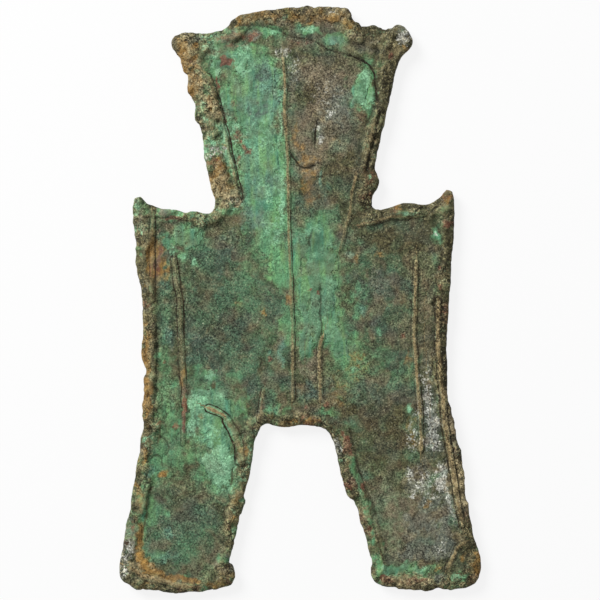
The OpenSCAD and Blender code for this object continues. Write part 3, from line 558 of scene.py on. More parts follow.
def ease(t):
    """3 t^2 - 2 t^3: a step from 0 to 1 that starts and ends level."""
    t = np.clip(t, 0, 1)
    return t * t * (3 - 2 * t)


def ease_between(low, high, value):
    """0 at low, 1 at high, eased between them."""
    return ease((value - low) / (high - low))


def ridge(gap, half_w):
    """e to the power -(gap / half width)^2: the section of a rounded ridge or furrow, 1 in its middle."""
    return np.exp(-(gap / half_w) ** 2)


def grain(x, y, size, seed, octaves=3):
    """Corrosion noise, about 0 to 1: random numbers on a square grid of the given size, eased between them.
    Each further octave is half as large and half as strong, and turned so that no grid shows."""
    total = np.zeros_like(x)
    weight = 0.0
    for octave in range(octaves):
        knots = np.random.default_rng(seed + GRAIN_SEED_STEP * octave).random((GRAIN_TILE, GRAIN_TILE))
        turn = GRAIN_TURN + GRAIN_TURN_STEP * octave
        share = 0.5 ** octave
        u = (x * math.cos(turn) - y * math.sin(turn)) / (size * share)
        v = (x * math.sin(turn) + y * math.cos(turn)) / (size * share)
        i, j = np.floor(u).astype(int), np.floor(v).astype(int)
        a, b = ease(u - i), ease(v - j)
        i, j, k, l = i % GRAIN_TILE, j % GRAIN_TILE, (i + 1) % GRAIN_TILE, (j + 1) % GRAIN_TILE
        near = knots[i, j] * (1 - a) + knots[k, j] * a
        far = knots[i, l] * (1 - a) + knots[k, l] * a
        total += share * (near * (1 - b) + far * b)
        weight += share
    return total / weight


def wobble(size, seed, octaves=3):
    """Corrosion noise on the lattice, about -0.5 to 0.5."""
    return grain(X, Y, size, seed, octaves) - 0.5


def patches(low, high, size, seed, octaves=3):
    """0 to 1 on the lattice, eased where the corrosion noise goes from low to high."""
    return ease_between(low, high, grain(X, Y, size, seed, octaves))


def rounded(points, per_span=6):
    """A closed smooth walk through the points. Each span is the cubic whose slope at either end is half the
    chord between that end's neighbours."""
    p = np.array(points, float)
    before, after, beyond = np.roll(p, 1, 0), np.roll(p, -1, 0), np.roll(p, -2, 0)
    t = np.linspace(0, 1, per_span, endpoint=False)[None, :, None]
    start, end = (after - before) / 2, (beyond - p) / 2
    spans = ((2 * t**3 - 3 * t**2 + 1) * p[:, None] + (t**3 - 2 * t**2 + t) * start[:, None]
             + (3 * t**2 - 2 * t**3) * after[:, None] + (t**3 - t**2) * end[:, None])
    return spans.reshape(-1, 2)


def path_distance(x, y, points):
    """Distance to an open path, above 0 on the left of whoever walks along it and below 0 on the right."""
    best = np.full(x.shape, np.inf)
    side = np.ones(x.shape)
    for (ax, ay), (bx, by) in zip(points[:-1], points[1:]):
        dx, dy = bx - ax, by - ay
        share = np.clip(((x - ax) * dx + (y - ay) * dy) / (dx * dx + dy * dy), 0, 1)
        gap = np.hypot(x - ax - share * dx, y - ay - share * dy)
        nearer = gap < best
        best = np.where(nearer, gap, best)
        side = np.where(nearer, np.where((y - ay) * dx > (x - ax) * dy, 1, -1), side)
    return best * side


def inside_distance(x, y, outline):
    """Distance to a closed outline, above 0 inside it. A point is inside if a level ray from it crosses an
    odd number of the outline's sides."""
    closed = np.vstack([outline, outline[:1]])
    gap = np.abs(path_distance(x, y, closed))
    odd = np.zeros(x.shape, bool)
    for (ax, ay), (bx, by) in zip(closed[:-1], closed[1:]):
        if ay != by:
            odd ^= ((ay > y) != (by > y)) & (x < ax + (bx - ax) * (y - ay) / (by - ay))
    return np.where(odd, gap, -gap)


def stain_map(stains, seed):
    """Strongest of the soft ellipses at each knot of the lattice. Their edges wander by a good part of their
    smaller half width."""
    wander_x = wobble(STAIN_WANDER, seed) + STAIN_FRAY_SHARE * wobble(STAIN_FRAY, seed + 3, 1)
    wander_y = wobble(STAIN_WANDER, seed + 7) + STAIN_FRAY_SHARE * wobble(STAIN_FRAY, seed + 5, 1)
    result = np.zeros(X.shape)
    for sx, sy, half_w, half_h, strength, *turn in stains:
        reach = STAIN_REACH * min(half_w, half_h, STAIN_REACH_LIMIT)
        dx, dy = X - sx + reach * wander_x, Y - sy + reach * wander_y
        angle = math.radians(turn[0] if turn else 0)
        c, s = math.cos(angle), math.sin(angle)
        r = np.hypot((dx * c - dy * s) / half_w, (dx * s + dy * c) / half_h)
        result = np.maximum(result, strength * (1 - ease_between(*STAIN_FADE, r)))
    return result


def softened(field, reach):
    """Mean over a square of 2 reach + 1 knots a side, taken along one axis and then along the other."""
    for axis in (0, 1):
        field = sum(np.roll(field, shift, axis) for shift in range(-reach, reach + 1)) / (2 * reach + 1)
    return field


# The coin's outline on the lattice
depth = inside_distance(X, Y, rounded(OUTLINE))
frayed = patches(0.4, 0.65, size=3.5, seed=2, octaves=2)
ragged = FRAY_LEAST + (FRAY_MORE + FRAY_ON_HEAD * ease_between(*NECK_Y, Y)) * frayed
inside = depth + OUTLINE_SWELL + OUTLINE_WAVER * wobble(1.6, seed=3) + ragged * wobble(0.6, seed=4, octaves=2)

# Heights of the obverse: rim round a sunken field, and the stub of the sprue, which has no rim
stub = ease_between(*STUB_Y, Y)
rim_w = RIM_W + RIM_BROADER * stain_map(BROAD_RIM, seed=21) + RIM_SWELL * grain(X, Y, 3, seed=8, octaves=2)
rim = 1 - ease_between(rim_w - RIM_SLOPE_OUT, rim_w + RIM_SLOPE_IN, inside + RIM_WANDER * wobble(0.9, seed=5))
bevel = BEVEL_FOOT + (1 - BEVEL_FOOT) * ease_between(*BEVEL, inside / rim_w)
obverse = OBVERSE_Z + RIM_H * rim * bevel * (1.05 + 0.9 * wobble(2.6, seed=9)) * (1 - stub)
obverse += (STUB_TOP - OBVERSE_Z) * stub

# Raised lines with a furrow on either flank, then cracks. Each knot keeps the marks of the line and the crack
# that are nearest to it
warp_x = X + LINE_WANDER * wobble(0.9, seed=31)
warp_y = Y + LINE_WANDER * wobble(0.9, seed=32)
along_line = wobble(1.8, seed=33, octaves=2)
line_swell = 1 + LINE_UNEVEN * wobble(1.1, seed=34, octaves=2)
patchy = 1 + WEAR_UNEVEN * wobble(1.3, seed=35, octaves=2)
line_gap, worn, flank_shadow_and_dirt = np.full(X.shape, FAR_OFF), np.zeros(X.shape), np.zeros(X.shape)
for points, half_w, height, crest_wear, dark_right, dark_left in OBVERSE_LINES.values():
    gap = path_distance(warp_x, warp_y, points) / (half_w * line_swell)
    dark = np.where(gap > 0, dark_left, dark_right) * (1 + along_line)
    obverse += LINE_RISE * height * ridge(gap, 1) * (1 + along_line)
    obverse -= FURROW_DEPTH * dark * ridge(np.abs(gap) - FURROW_AT, FURROW_HALF_W)
    nearest = np.abs(gap) < np.abs(line_gap)
    line_gap = np.where(nearest, gap, line_gap)
    worn = np.where(nearest, crest_wear * patchy, worn)
    flank_shadow_and_dirt = np.where(nearest, dark, flank_shadow_and_dirt)
crack_x = warp_x + CRACK_WANDER * wobble(0.7, seed=36)
crack_y = warp_y + CRACK_WANDER * wobble(0.7, seed=37)
crack_gap, crack = np.ones(X.shape), np.zeros(X.shape)
for points, dark in CRACKS.values():
    gap = path_distance(crack_x, crack_y, points)
    obverse -= CRACK_DEPTH * dark * ridge(gap, CRACK_HALF_W)
    nearest = np.abs(gap) < np.abs(crack_gap)
    crack_gap = np.where(nearest, gap, crack_gap)
    crack = np.where(nearest, dark * (0.95 + 0.7 * along_line), crack)

# Corrosion of the obverse: lumps, a groove along the rim, flakes and fissures
for on_field, on_rim, size, seed, octaves in LUMPS:
    obverse += (on_field + on_rim * rim) * wobble(size, seed, octaves)
groove = ridge(inside - rim_w - GROOVE_AT - GROOVE_WANDER * wobble(1.2, seed=57), GROOVE_HALF_W)
groove *= patches(0.4, 0.62, size=3.5, seed=58, octaves=2) * (1 - stub)
obverse -= GROOVE_DEPTH * groove
obverse += (FLAKE_H[0] + FLAKE_H[1] * rim) * (patches(0.46, 0.54, size=1.5, seed=59) - 0.5)
fissure = ridge(wobble(1.3, seed=56, octaves=2), FISSURE_HALF_W)
obverse -= (FISSURE_DEPTH[0] + FISSURE_DEPTH[1] * rim) * fissure
obverse = np.minimum(obverse, OBVERSE_Z + RIM_H)

# Heights of the reverse, which rests on the crest of its rim
rim_back = 1 - ease_between(*BACK_RIM_SLOPE, inside + BACK_RIM_WANDER * wobble(0.9, seed=6))
reverse = REVERSE_Z - RIM_H * rim_back * (1 + 0.3 * wobble(2.6, seed=10))
reverse = reverse * (1 - stub) + STUB_FOOT * stub
for points in REVERSE_LINES.values():
    gap = path_distance(warp_x, warp_y, points)
    reverse -= REVERSE_LINE_H * ridge(gap, REVERSE_LINE_HALF_W) * 0.8 * (1 + along_line)
reverse += BACK_LUMP_H * (wobble(1.5, seed=52, octaves=4) + rim_back * wobble(0.6, seed=54, octaves=2))
reverse = np.maximum(reverse, 0)

# What the eye reads on the obverse: stains, flecks, lines and cracks, dirt and painted shade in hollows, and
# wear and a painted highlight on crests
front_marks = {name: stain_map(spots, 61 + 2 * k) for k, (name, spots) in enumerate(STAINS.items())}
to_right = ease_between(*LEFT_TO_RIGHT, X)
for name, (on_left, on_right, seed) in RIM_FLECKS.items():
    stretch = patches(0.3, 0.6, size=4, seed=seed + 10, octaves=2)
    strength = on_left + (on_right - on_left) * to_right
    fleck = strength * rim * (1 - stub) * stretch * patches(0.45, 0.7, size=0.8, seed=seed)
    front_marks[name] = np.maximum(front_marks[name], fleck)
# Umber along the very edge of the obverse is painted shade where the edge falls away, and umber in the groove
# at the rim's foot is partly dirt and partly painted shade
painted_edge_shade = 0.2 * ease_between(0.5, 0.3, inside)
front_marks["umber"] = np.maximum(front_marks["umber"], np.maximum(painted_edge_shade, 0.8 * groove))
lift = obverse - softened(obverse, MEAN_REACH)
front_marks |= {
    "rim": rim,
    "line_gap": line_gap,
    "worn": worn,
    "flank_shadow_and_dirt": flank_shadow_and_dirt,
    "crack_gap": crack_gap,
    "crack": crack,
    # Light on crests: wear and a painted highlight, less of it on the right rims as painted shade
    "crest": ease_between(*LIFT, lift) * (1.2 - 0.8 * rim * to_right),
    # Dark in the hollows: dirt and painted shade
    "hollow_dirt_and_shade": ease_between(*LIFT, -lift),
}

# The same for the reverse, where no line and no crack is coloured
back_marks = {name: strength * patches(*spread) for name, (strength, *spread) in BACK_STAINS.items()}
back_marks["ochre"] *= 0.35 + 0.65 * rim_back
lift_back = softened(reverse, MEAN_REACH) - reverse
back_marks |= {
    "rim": rim_back,
    "line_gap": np.full(X.shape, FAR_OFF),
    "worn": np.zeros(X.shape),
    "flank_shadow_and_dirt": np.zeros(X.shape),
    "crack_gap": np.ones(X.shape),
    "crack": np.zeros(X.shape),
    "crest": ease_between(*LIFT, lift_back),
    "hollow_dirt_and_shade": ease_between(*LIFT, -lift_back),
}

# Two triangles for each square of the lattice, counter-clockwise from above
knot = np.arange(X.size).reshape(X.shape)
low_left, low_right, top_left, top_right = knot[:-1, :-1], knot[:-1, 1:], knot[1:, :-1], knot[1:, 1:]
LATTICE_TRIANGLES = np.concatenate([
    np.stack([low_left, low_right, top_right], -1).reshape(-1, 3),
    np.stack([low_left, top_right, top_left], -1).reshape(-1, 3),
])


def cut_out(level):
    """Cuts the lattice along level = 0 and keeps what is above it. A triangle that the cut crosses loses its
    corners below it, and gains a corner where each of its sides crosses, found by straight interpolation.
    Gives the triangles, the border's sides, and a function that reads a lattice field at the new corners."""
    least = 0.15 * STEP
    flat = np.where(np.abs(level) < least, np.where(level < 0, -least, least), level).ravel()
    above = flat[LATTICE_TRIANGLES] > 0
    count = above.sum(1)
    whole = LATTICE_TRIANGLES[count == 3]

    one, kept = LATTICE_TRIANGLES[count == 1], above[count == 1].argmax(1)
    one = np.take_along_axis(one, (kept[:, None] + np.arange(3)) % 3, 1)
    two, lost = LATTICE_TRIANGLES[count == 2], (~above[count == 2]).argmax(1)
    two = np.take_along_axis(two, (lost[:, None] + 1 + np.arange(3)) % 3, 1)

    # Sides that the cut crosses, from the corner above it to the corner below it
    sides = np.concatenate([one[:, [0, 1]], one[:, [0, 2]], two[:, [1, 2]], two[:, [0, 2]]])
    unique, crossing = np.unique(sides, axis=0, return_inverse=True)
    share = flat[unique[:, 0]] / (flat[unique[:, 0]] - flat[unique[:, 1]])
    crossing = crossing.ravel() + flat.size
    n, m = len(one), len(two)
    p, q, r, s = crossing[:n], crossing[n:2 * n], crossing[2 * n:2 * n + m], crossing[2 * n + m:]
    triangles = np.concatenate([
        whole,
        np.stack([one[:, 0], p, q], -1),
        np.stack([two[:, 0], two[:, 1], r], -1),
        np.stack([two[:, 0], r, s], -1),
    ])
    border = np.concatenate([np.stack([p, q], -1), np.stack([r, s], -1)])

    used, order = np.unique(np.concatenate([triangles.ravel(), border.ravel()]), return_inverse=True)
    order = order.ravel()
    on_lattice, on_side = used[used < flat.size], used[used >= flat.size] - flat.size

    def read(field):
        values = field.ravel()
        start, end = values[unique[on_side, 0]], values[unique[on_side, 1]]
        return np.concatenate([values[on_lattice], start + (end - start) * share[on_side]])

    return order[:triangles.size].reshape(-1, 3), order[triangles.size:].reshape(-1, 2), read


def add_object(name, data):
    """An object of the data, linked into the scene."""
    thing = bpy.data.objects.new(name, data)
    bpy.context.scene.collection.objects.link(thing)
    return thing


def make_piece(name, corners, triangles, marks, smooth):
    """A mesh object from corners, triangles, one float attribute per mark, and which triangles are smooth."""
    mesh = bpy.data.meshes.new(name)
    mesh.vertices.add(len(corners))
    mesh.vertices.foreach_set("co", (corners * MM).astype(np.float32).ravel())
    mesh.loops.add(triangles.size)
    mesh.loops.foreach_set("vertex_index", triangles.astype(np.int32).ravel())
    mesh.polygons.add(len(triangles))
    mesh.polygons.foreach_set("loop_start", np.arange(0, triangles.size, 3, dtype=np.int32))
    mesh.update(calc_edges=True)
    mesh.polygons.foreach_set("use_smooth", smooth)
    for mark, values in marks.items():
        attribute = mesh.attributes.new(mark, "FLOAT", "POINT")
        attribute.data.foreach_set("value", values.astype(np.float32))
    return add_object(name, mesh)


def casting():
    """The coin: an obverse and a reverse sheet over one cut of the lattice, joined by a rounded, lumpy edge.
    Round the edge, with a from 0 to half a turn, a corner of the cut moves out by its reach x sin(a)^0.8. Its
    height over the parting line is the obverse's x cos(a), and past that line the reverse's x cos(a)."""
    triangles, border, read = cut_out(inside - EDGE_REACH)
    x, y, top, bottom = read(X), read(Y), read(obverse), read(reverse)
    count = len(x)
    edge = np.unique(border)
    slope_y, slope_x = np.gradient(softened(depth, 1), STEP)
    out_x, out_y = -read(slope_x)[edge], -read(slope_y)[edge]
    length = np.maximum(np.hypot(out_x, out_y), 1e-6)
    out_x, out_y = out_x / length, out_y / length

    corners = [np.stack([x, y, top], -1), np.stack([x, y, bottom], -1)]
    marks = {mark: [read(front_marks[mark]), read(back_marks[mark])] for mark in front_marks}
    rows = [edge]
    for k in range(1, EDGE_STEPS):
        a = math.pi * k / EDGE_STEPS
        drop = math.cos(a)
        height = top[edge] - PARTING_Z if drop > 0 else PARTING_Z - bottom[edge]
        edge_z = PARTING_Z + height * drop
        lumps = EDGE_LUMPS * (grain(x[edge] + 1.3 * edge_z, y[edge] - 0.9 * edge_z, 0.8, seed=81) - 0.5)
        reach = (EDGE_REACH + lumps) * math.sin(a) ** 0.8
        corners.append(np.stack([x[edge] + reach * out_x, y[edge] + reach * out_y, edge_z], -1))
        share = min(1, 1 + drop)
        for mark, values in marks.items():
            values.append(share * values[0][edge] + (1 - share) * values[1][edge])
        # Umber on the edge grows from none at the obverse to full at the reverse: painted shade, darker
        # towards the underside
        marks["umber"][-1] = np.maximum(marks["umber"][-1], 0.5 - 0.5 * drop)
        rows.append(2 * count + (k - 1) * len(edge) + np.arange(len(edge)))
    rows.append(edge + count)

    place = np.zeros(count, int)
    place[edge] = np.arange(len(edge))
    start, end = place[border[:, 0]], place[border[:, 1]]
    faces = [triangles, triangles[:, ::-1] + count]
    for upper, lower in zip(rows[:-1], rows[1:]):
        faces.append(np.stack([upper[end], upper[start], lower[start]], -1))
        faces.append(np.stack([upper[end], lower[start], lower[end]], -1))
    marks = {mark: np.concatenate(values) for mark, values in marks.items()}
    faces = np.concatenate(faces)
    return make_piece("bronze_coin", np.concatenate(corners), faces, marks, np.ones(len(faces), bool))


def span(field, near, far, reach):
    """1 from near + reach to far - reach, eased to 0 a little outside near and far."""
    return (ease_between(near - CRUST_OVERLAP, near + reach, field)
            * ease_between(far + CRUST_OVERLAP, far - reach, field))


def crust(node, stain, thickness, edge):
    """A crust on the casting. Where its stain is stronger than edge, inside the node's own box, its top
    stands off the obverse by its thickness and its foot is rooted just under it. It thins out towards the
    sides of the box. Top and foot meet along the cut."""
    low, high = (np.array(corner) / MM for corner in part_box(node))
    wander = CRUST_WANDER * wobble(1.5, seed=95)
    window, fade = np.ones(X.shape), np.ones(X.shape)
    for field, near, far in ((X, low[0], high[0]), (Y, low[1], high[1])):
        window *= span(field + wander, near, far, CRUST_WINDOW)
        fade *= span(field, near, far, min(CRUST_FADE, (far - near) / 2))
    level = front_marks[stain] * window - edge + CRUST_FRAY * wobble(0.7, seed=91)
    level = np.minimum(level, inside - CRUST_INSET)
    triangles, border, read = cut_out(level * STEP * 2)
    stand = thickness * fade * ease_between(0, 0.5, level) * (1 + 0.9 * wobble(0.6, seed=93))
    x, y = read(X), read(Y)
    ground = read(obverse)
    top, foot = ground + read(stand), ground - CRUST_ROOT
    count = len(x)
    rim_corners = np.unique(border)
    under = np.arange(count) + count
    under[rim_corners] = rim_corners
    top[rim_corners] = ground[rim_corners] - CRUST_LIP
    corners = np.concatenate([np.stack([x, y, top], -1), np.stack([x, y, foot], -1)])
    faces = np.concatenate([triangles, under[triangles][:, ::-1]])
    used, order = np.unique(faces, return_inverse=True)
    marks = {mark: np.tile(read(field), 2)[used] for mark, field in front_marks.items()}
    smooth = np.arange(len(faces)) < len(triangles)
    return make_piece(node.replace("_crust_", "_"), corners[used], order.reshape(-1, 3), marks, smooth)


def linear(hex_colour):
    """sRGB hex to linear colour with alpha 1."""
    parts = [int(hex_colour[k:k + 2], 16) / 255 for k in (1, 3, 5)]
    return [c / 12.92 if c <= 0.04045 else ((c + 0.055) / 1.055) ** 2.4 for c in parts] + [1]


def empty_tree(owner):
    """The node tree of a material or a world, switched on and emptied."""
    owner.use_nodes = True
    owner.node_tree.nodes.clear()
    return owner.node_tree


def add_node(tree, kind, links=(), out=0, **settings):
    """Adds a node with its settings and gives one of its outputs, if it has any. links holds a socket to link
    or a value to set for each input: in order, or by the input's name or number."""
    node = tree.nodes.new("ShaderNode" + kind)
    for key, value in settings.items():
        setattr(node, key, value)
    for key, source in links.items() if isinstance(links, dict) else enumerate(links):
        if isinstance(source, bpy.types.NodeSocket):
            tree.links.new(source, node.inputs[key])
        else:
            node.inputs[key].default_value = source
    return node.outputs[out] if len(node.outputs) else None


# Stains: dark and light colour, size of the breaks in the edge, how deep they are, how soft the edge is
LAYERS = {
    "rim": ("#534c33", "#857b56", 0.5, 1.2, 0.45),
    "drab": ("#625a45", "#8a806b", 0.8, 1.2, 0.45),
    "moss": ("#354836", "#576b54", 0.8, 1.0, 0.5),
    "malachite": ("#568a5e", "#7ab280", 0.7, 1.2, 0.6),
    "teal": ("#608d77", "#82b096", 0.8, 1.2, 0.45),
    "slate": ("#43554a", "#6a7f72", 0.8, 0.9, 0.5),
    "umber": ("#3a3827", "#5a573b", 0.7, 1.1, 0.45),
    "grey": ("#555a4d", "#848879", 0.5, 1.3, 0.4),
    "pale_green": ("#6eaa7c", "#a6d9b0", 0.35, 2.6, 0.35),
    "ochre": ("#74552b", "#b59052", 0.5, 1.2, 0.35),
    "cuprite": ("#633f30", "#926650", 0.35, 1.4, 0.3),
    "lead": ("#605f54", "#f6f7ea", 0.22, 3.8, 0.22),
    "chalk": ("#948259", "#d2c299", 0.4, 1.6, 0.35),
}
# Their order from the ground up, and those that lie over malachite and over lead carbonate
ALL_LAYERS = list(LAYERS)
OVER_MALACHITE = ALL_LAYERS[ALL_LAYERS.index("teal"):]
OVER_LEAD = ALL_LAYERS[ALL_LAYERS.index("ochre"):]
# A stain of less than a third of full strength is thin all over
THIN_LIMIT = 3.0
# Lines: the mark that holds the distance (in half widths of a line, in mm from a crack), how far out the
# colour lies, its half width, the mark that holds its strength, its dark and light colour
LINE_LAYERS = [
    ("line_gap", 0.0, 1.05, "worn", "#6f5c3e", "#ae9a70"),
    # The flanks' dark is dirt and a painted shadow beside the raised line
    ("line_gap", FLANK_AT, 0.42, "flank_shadow_and_dirt", "#1e190e", "#352d1c"),
    ("crack_gap", 0.0, 0.12, "crack", "#17150d", "#2b2718"),
]
# Marks that every material reads, whichever stains it has
SHARED_MARKS = [
    "malachite", "ochre", "rim", "umber", "drab",
    "line_gap", "worn", "flank_shadow_and_dirt", "crack_gap", "crack", "hollow_dirt_and_shade", "crest",
]
# Spots of one colour: colour, size, noise levels where they start and are full, most cover.
# Streaks are drawn out down the green, clouds of thin corrosion lie on the open fields, specks on everything
STREAK_ASPECT = 0.16
STREAKS = [
    ("#86b872", 0.55, 0.5, 0.66, 0.6),
    ("#4a8f78", 0.7, 0.5, 0.66, 0.55),
    ("#47664a", 0.4, 0.54, 0.7, 0.5),
]
CLOUDS = [
    ("#5c8b6a", 1.5, 0.5, 0.65, 0.45),
    ("#7a6650", 1.3, 0.51, 0.66, 0.5),
    ("#465450", 1.8, 0.5, 0.65, 0.45),
]
SPECKS = [
    ("#c0bfa4", 0.14, 0.62, 0.77, 0.4),
    ("#24221a", 0.2, 0.58, 0.73, 0.55),
]
# Dirt and painted shade in the hollows, and wear and a painted highlight on the crests: the mark, its most
# cover, colour
RELIEF_TINTS = [
    ("hollow_dirt_and_shade", 0.5, "#2b281b"),
    ("crest", 0.27, "#9c9570"),
]
# Mottle, grit and dust: seed, size, swirl. Real dust is finer than a pixel, so it is drawn coarser here
GRAINS = [
    (0.5, 2.6, 0.8),
    (1.5, 0.42, 0.6),
    (2.5, 0.12, 0.0),
]
# Scabs: seed, size, half width of the dark rifts between them in noise levels. The coarse ones come last
SCABS = [
    (32.6, 0.36, 0.055),
    (31.1, 0.8, 0.03),
]
RIFT_TINT = "#1f1b10"
# A painted highlight along the raised edge of the scabs, beside the rifts
SCAB_HIGHLIGHT_TINT = "#b5a97f"
DARKEST_GRIT = 0.25
# First seeds of the spots and of the breaks in the stains' edges
BREAK_SEED = 3.3
SPECK_SEED = 20.7
STREAK_SEED = 40.3
CLOUD_SEED = 50.7


def scattered(tree, colour, spots, vector, seed, mask, detail=0.5, swirl=0.5):
    """Lays spots of one colour over what is there: noise, brought from its start and full levels to 0 and the
    most cover, times a mask."""
    tint, size, low, high, most = spots
    noise = add_node(tree, "TexNoise", {"Vector": vector, "W": seed, "Scale": 1 / (size * MM),
                                        "Detail": detail, "Distortion": swirl}, noise_dimensions="4D")
    cover = add_node(tree, "MapRange", {"Value": noise, "From Min": low, "From Max": high, "To Max": most})
    cover = add_node(tree, "Math", [cover, mask], operation="MULTIPLY")
    return add_node(tree, "Mix", {0: cover, 6: colour, 7: linear(tint)}, out=2, data_type="RGBA")


def stained(tree, colour, cover, shade, dark, light):
    """Lays a stain over what is there, by its cover. The stain goes from dark to light with the shade."""
    stain = add_node(tree, "Mix", {0: shade, 6: linear(dark), 7: linear(light)}, out=2, data_type="RGBA")
    return add_node(tree, "Mix", {0: cover, 6: colour, 7: stain}, out=2, data_type="RGBA")


def patina(name, ground, layers, roughness, bump_mm):
    """Ground in two tones, then each stain where its mark, broken up by noise, is strong, with streaks in the
    green. Then clouds on the open fields, worn crests, flanks dark with dirt and a painted shadow, and cracks
    by their distance, dirt and painted shade in hollows, wear and a painted highlight on crests, specks, and
    rifts between scabs with a painted highlight on their raised edge. Last a fine grit of light and dark, and
    a bump.
    Inputs 0, 6 and 7 of a Mix node are its factor and two colours, output 2 the blend."""
    material = bpy.data.materials.new(name)
    tree = empty_tree(material)
    place = add_node(tree, "TexCoord", out="Object")
    marks = {mark: add_node(tree, "Attribute", out="Fac", attribute_name=mark)
             for mark in dict.fromkeys(SHARED_MARKS + layers)}
    mottle, grit, dust = (
        add_node(tree, "TexNoise", {"Vector": place, "W": seed, "Scale": 1 / (size * MM), "Detail": 2,
                                    "Roughness": 0.6, "Distortion": swirl}, noise_dimensions="4D")
        for seed, size, swirl in GRAINS)
    tone = add_node(tree, "Math", [mottle, grit], operation="ADD")
    tone = add_node(tree, "MapRange", {"Value": tone, "From Min": 0.75, "From Max": 1.25})
    shade = add_node(tree, "Math", [grit, dust], operation="ADD")
    shade = add_node(tree, "MapRange", {"Value": shade, "From Min": 0.6, "From Max": 1.4})
    colour = add_node(tree, "Mix", {0: tone, 6: linear(ground[0]), 7: linear(ground[1])},
                      out=2, data_type="RGBA")

    # Stains. The streaks lie over malachite and teal and under the rest
    thick_green = add_node(tree, "MapRange", {"Value": marks["malachite"], "From Min": 0.3, "From Max": 0.9})
    drawn_out = add_node(tree, "Mapping", {"Vector": place, "Scale": (1, STREAK_ASPECT, 1)})
    for k, layer in enumerate(layers):
        for j, streak in enumerate(STREAKS if layer == "slate" else []):
            colour = scattered(tree, colour, streak, drawn_out, STREAK_SEED + j, thick_green,
                               detail=2, swirl=0.4)
        dark, light, size, break_depth, soft = LAYERS[layer]
        breaks = add_node(tree, "TexNoise", {"Vector": place, "W": BREAK_SEED + k, "Scale": 1 / (size * MM),
                                             "Detail": 3, "Roughness": 0.6, "Distortion": 0.6},
                          noise_dimensions="4D")
        cover = add_node(tree, "Math", [breaks, break_depth, marks[layer]], operation="MULTIPLY_ADD")
        middle = 0.5 + 0.5 * break_depth
        cover = add_node(tree, "MapRange", {"Value": cover, "From Min": middle - soft,
                                            "From Max": middle + soft}, interpolation_type="SMOOTHSTEP")
        limit = add_node(tree, "Math", [marks[layer], THIN_LIMIT], operation="MULTIPLY")
        cover = add_node(tree, "Math", [cover, limit], operation="MINIMUM")
        colour = stained(tree, colour, cover, shade, dark, light)

    # Crusted is where green or earth lies, open is where nothing covers the field
    earthy = add_node(tree, "Math", [marks["ochre"], 0.9], operation="MULTIPLY")
    crusted = add_node(tree, "Math", [marks["malachite"], earthy], operation="MAXIMUM")
    soil_and_shade = add_node(tree, "Math", [marks["umber"], marks["drab"]], operation="MAXIMUM")
    open_field = 1.0
    for covering, share in ((crusted, 0.55), (marks["rim"], 0.45), (soil_and_shade, 0.6)):
        open_field = add_node(tree, "Math", [covering, -share, open_field], operation="MULTIPLY_ADD",
                              use_clamp=True)
    for k, cloud in enumerate(CLOUDS):
        colour = scattered(tree, colour, cloud, place, CLOUD_SEED + k, open_field)

    # Lines and cracks, with an edge that grit breaks up
    for gap_mark, at, half_w, strength_mark, dark, light in LINE_LAYERS:
        off = add_node(tree, "Math", [marks[gap_mark]], operation="ABSOLUTE")
        off = add_node(tree, "Math", [off, at], operation="SUBTRACT")
        off = add_node(tree, "Math", [off], operation="ABSOLUTE")
        off = add_node(tree, "Math", [grit, 1.5 * half_w, off], operation="MULTIPLY_ADD")
        cover = add_node(tree, "MapRange", {"Value": off, "From Min": 1.75 * half_w,
                                            "From Max": 1.05 * half_w}, interpolation_type="SMOOTHSTEP")
        cover = add_node(tree, "Math", [cover, marks[strength_mark]], operation="MULTIPLY", use_clamp=True)
        colour = stained(tree, colour, cover, shade, dark, light)
    for mark, most, tint in RELIEF_TINTS:
        cover = add_node(tree, "Math", [marks[mark], most], operation="MULTIPLY")
        colour = add_node(tree, "Mix", {0: cover, 6: colour, 7: linear(tint)}, out=2, data_type="RGBA")

    # Specks and scabs, which are strongest on the rim and weakest on the crusts
    speckled = add_node(tree, "MapRange", {"Value": marks["rim"], "To Min": 0.85, "To Max": 1.2})
    speckled = add_node(tree, "Math", [crusted, -0.55, speckled], operation="MULTIPLY_ADD")
    for k, speck in enumerate(SPECKS):
        colour = scattered(tree, colour, speck, place, SPECK_SEED + k, speckled)
    scabby = add_node(tree, "MapRange", {"Value": marks["rim"], "To Min": 0.27, "To Max": 0.85})
    scabby = add_node(tree, "Math", [crusted, -0.3, scabby], operation="MULTIPLY_ADD")
    in_stretches = add_node(tree, "MapRange", {"Value": mottle, "From Min": 0.4, "From Max": 0.55})
    rifted = add_node(tree, "Math", [in_stretches, scabby], operation="MULTIPLY")
    for seed, size, half_w in SCABS:
        scab = add_node(tree, "TexNoise", {"Vector": place, "W": seed, "Scale": 1 / (size * MM), "Detail": 2,
                                           "Roughness": 0.55, "Distortion": 0.8}, noise_dimensions="4D")
        # Dark rifts between the scabs, then a painted highlight on the scabs' raised edge beside them
        for level, outer, inner, most, mask, tint in (
                (0.5, half_w, 0.2 * half_w, 1.0, rifted, RIFT_TINT),
                (0.5 + 2.3 * half_w, 0.8 * half_w, 0.0, 0.5, scabby, SCAB_HIGHLIGHT_TINT)):
            off = add_node(tree, "Math", [scab, level], operation="SUBTRACT")
            off = add_node(tree, "Math", [off], operation="ABSOLUTE")
            cover = add_node(tree, "MapRange", {"Value": off, "From Min": outer, "From Max": inner,
                                                "To Max": most})
            cover = add_node(tree, "Math", [cover, mask], operation="MULTIPLY")
            colour = add_node(tree, "Mix", {0: cover, 6: colour, 7: linear(tint)}, out=2, data_type="RGBA")

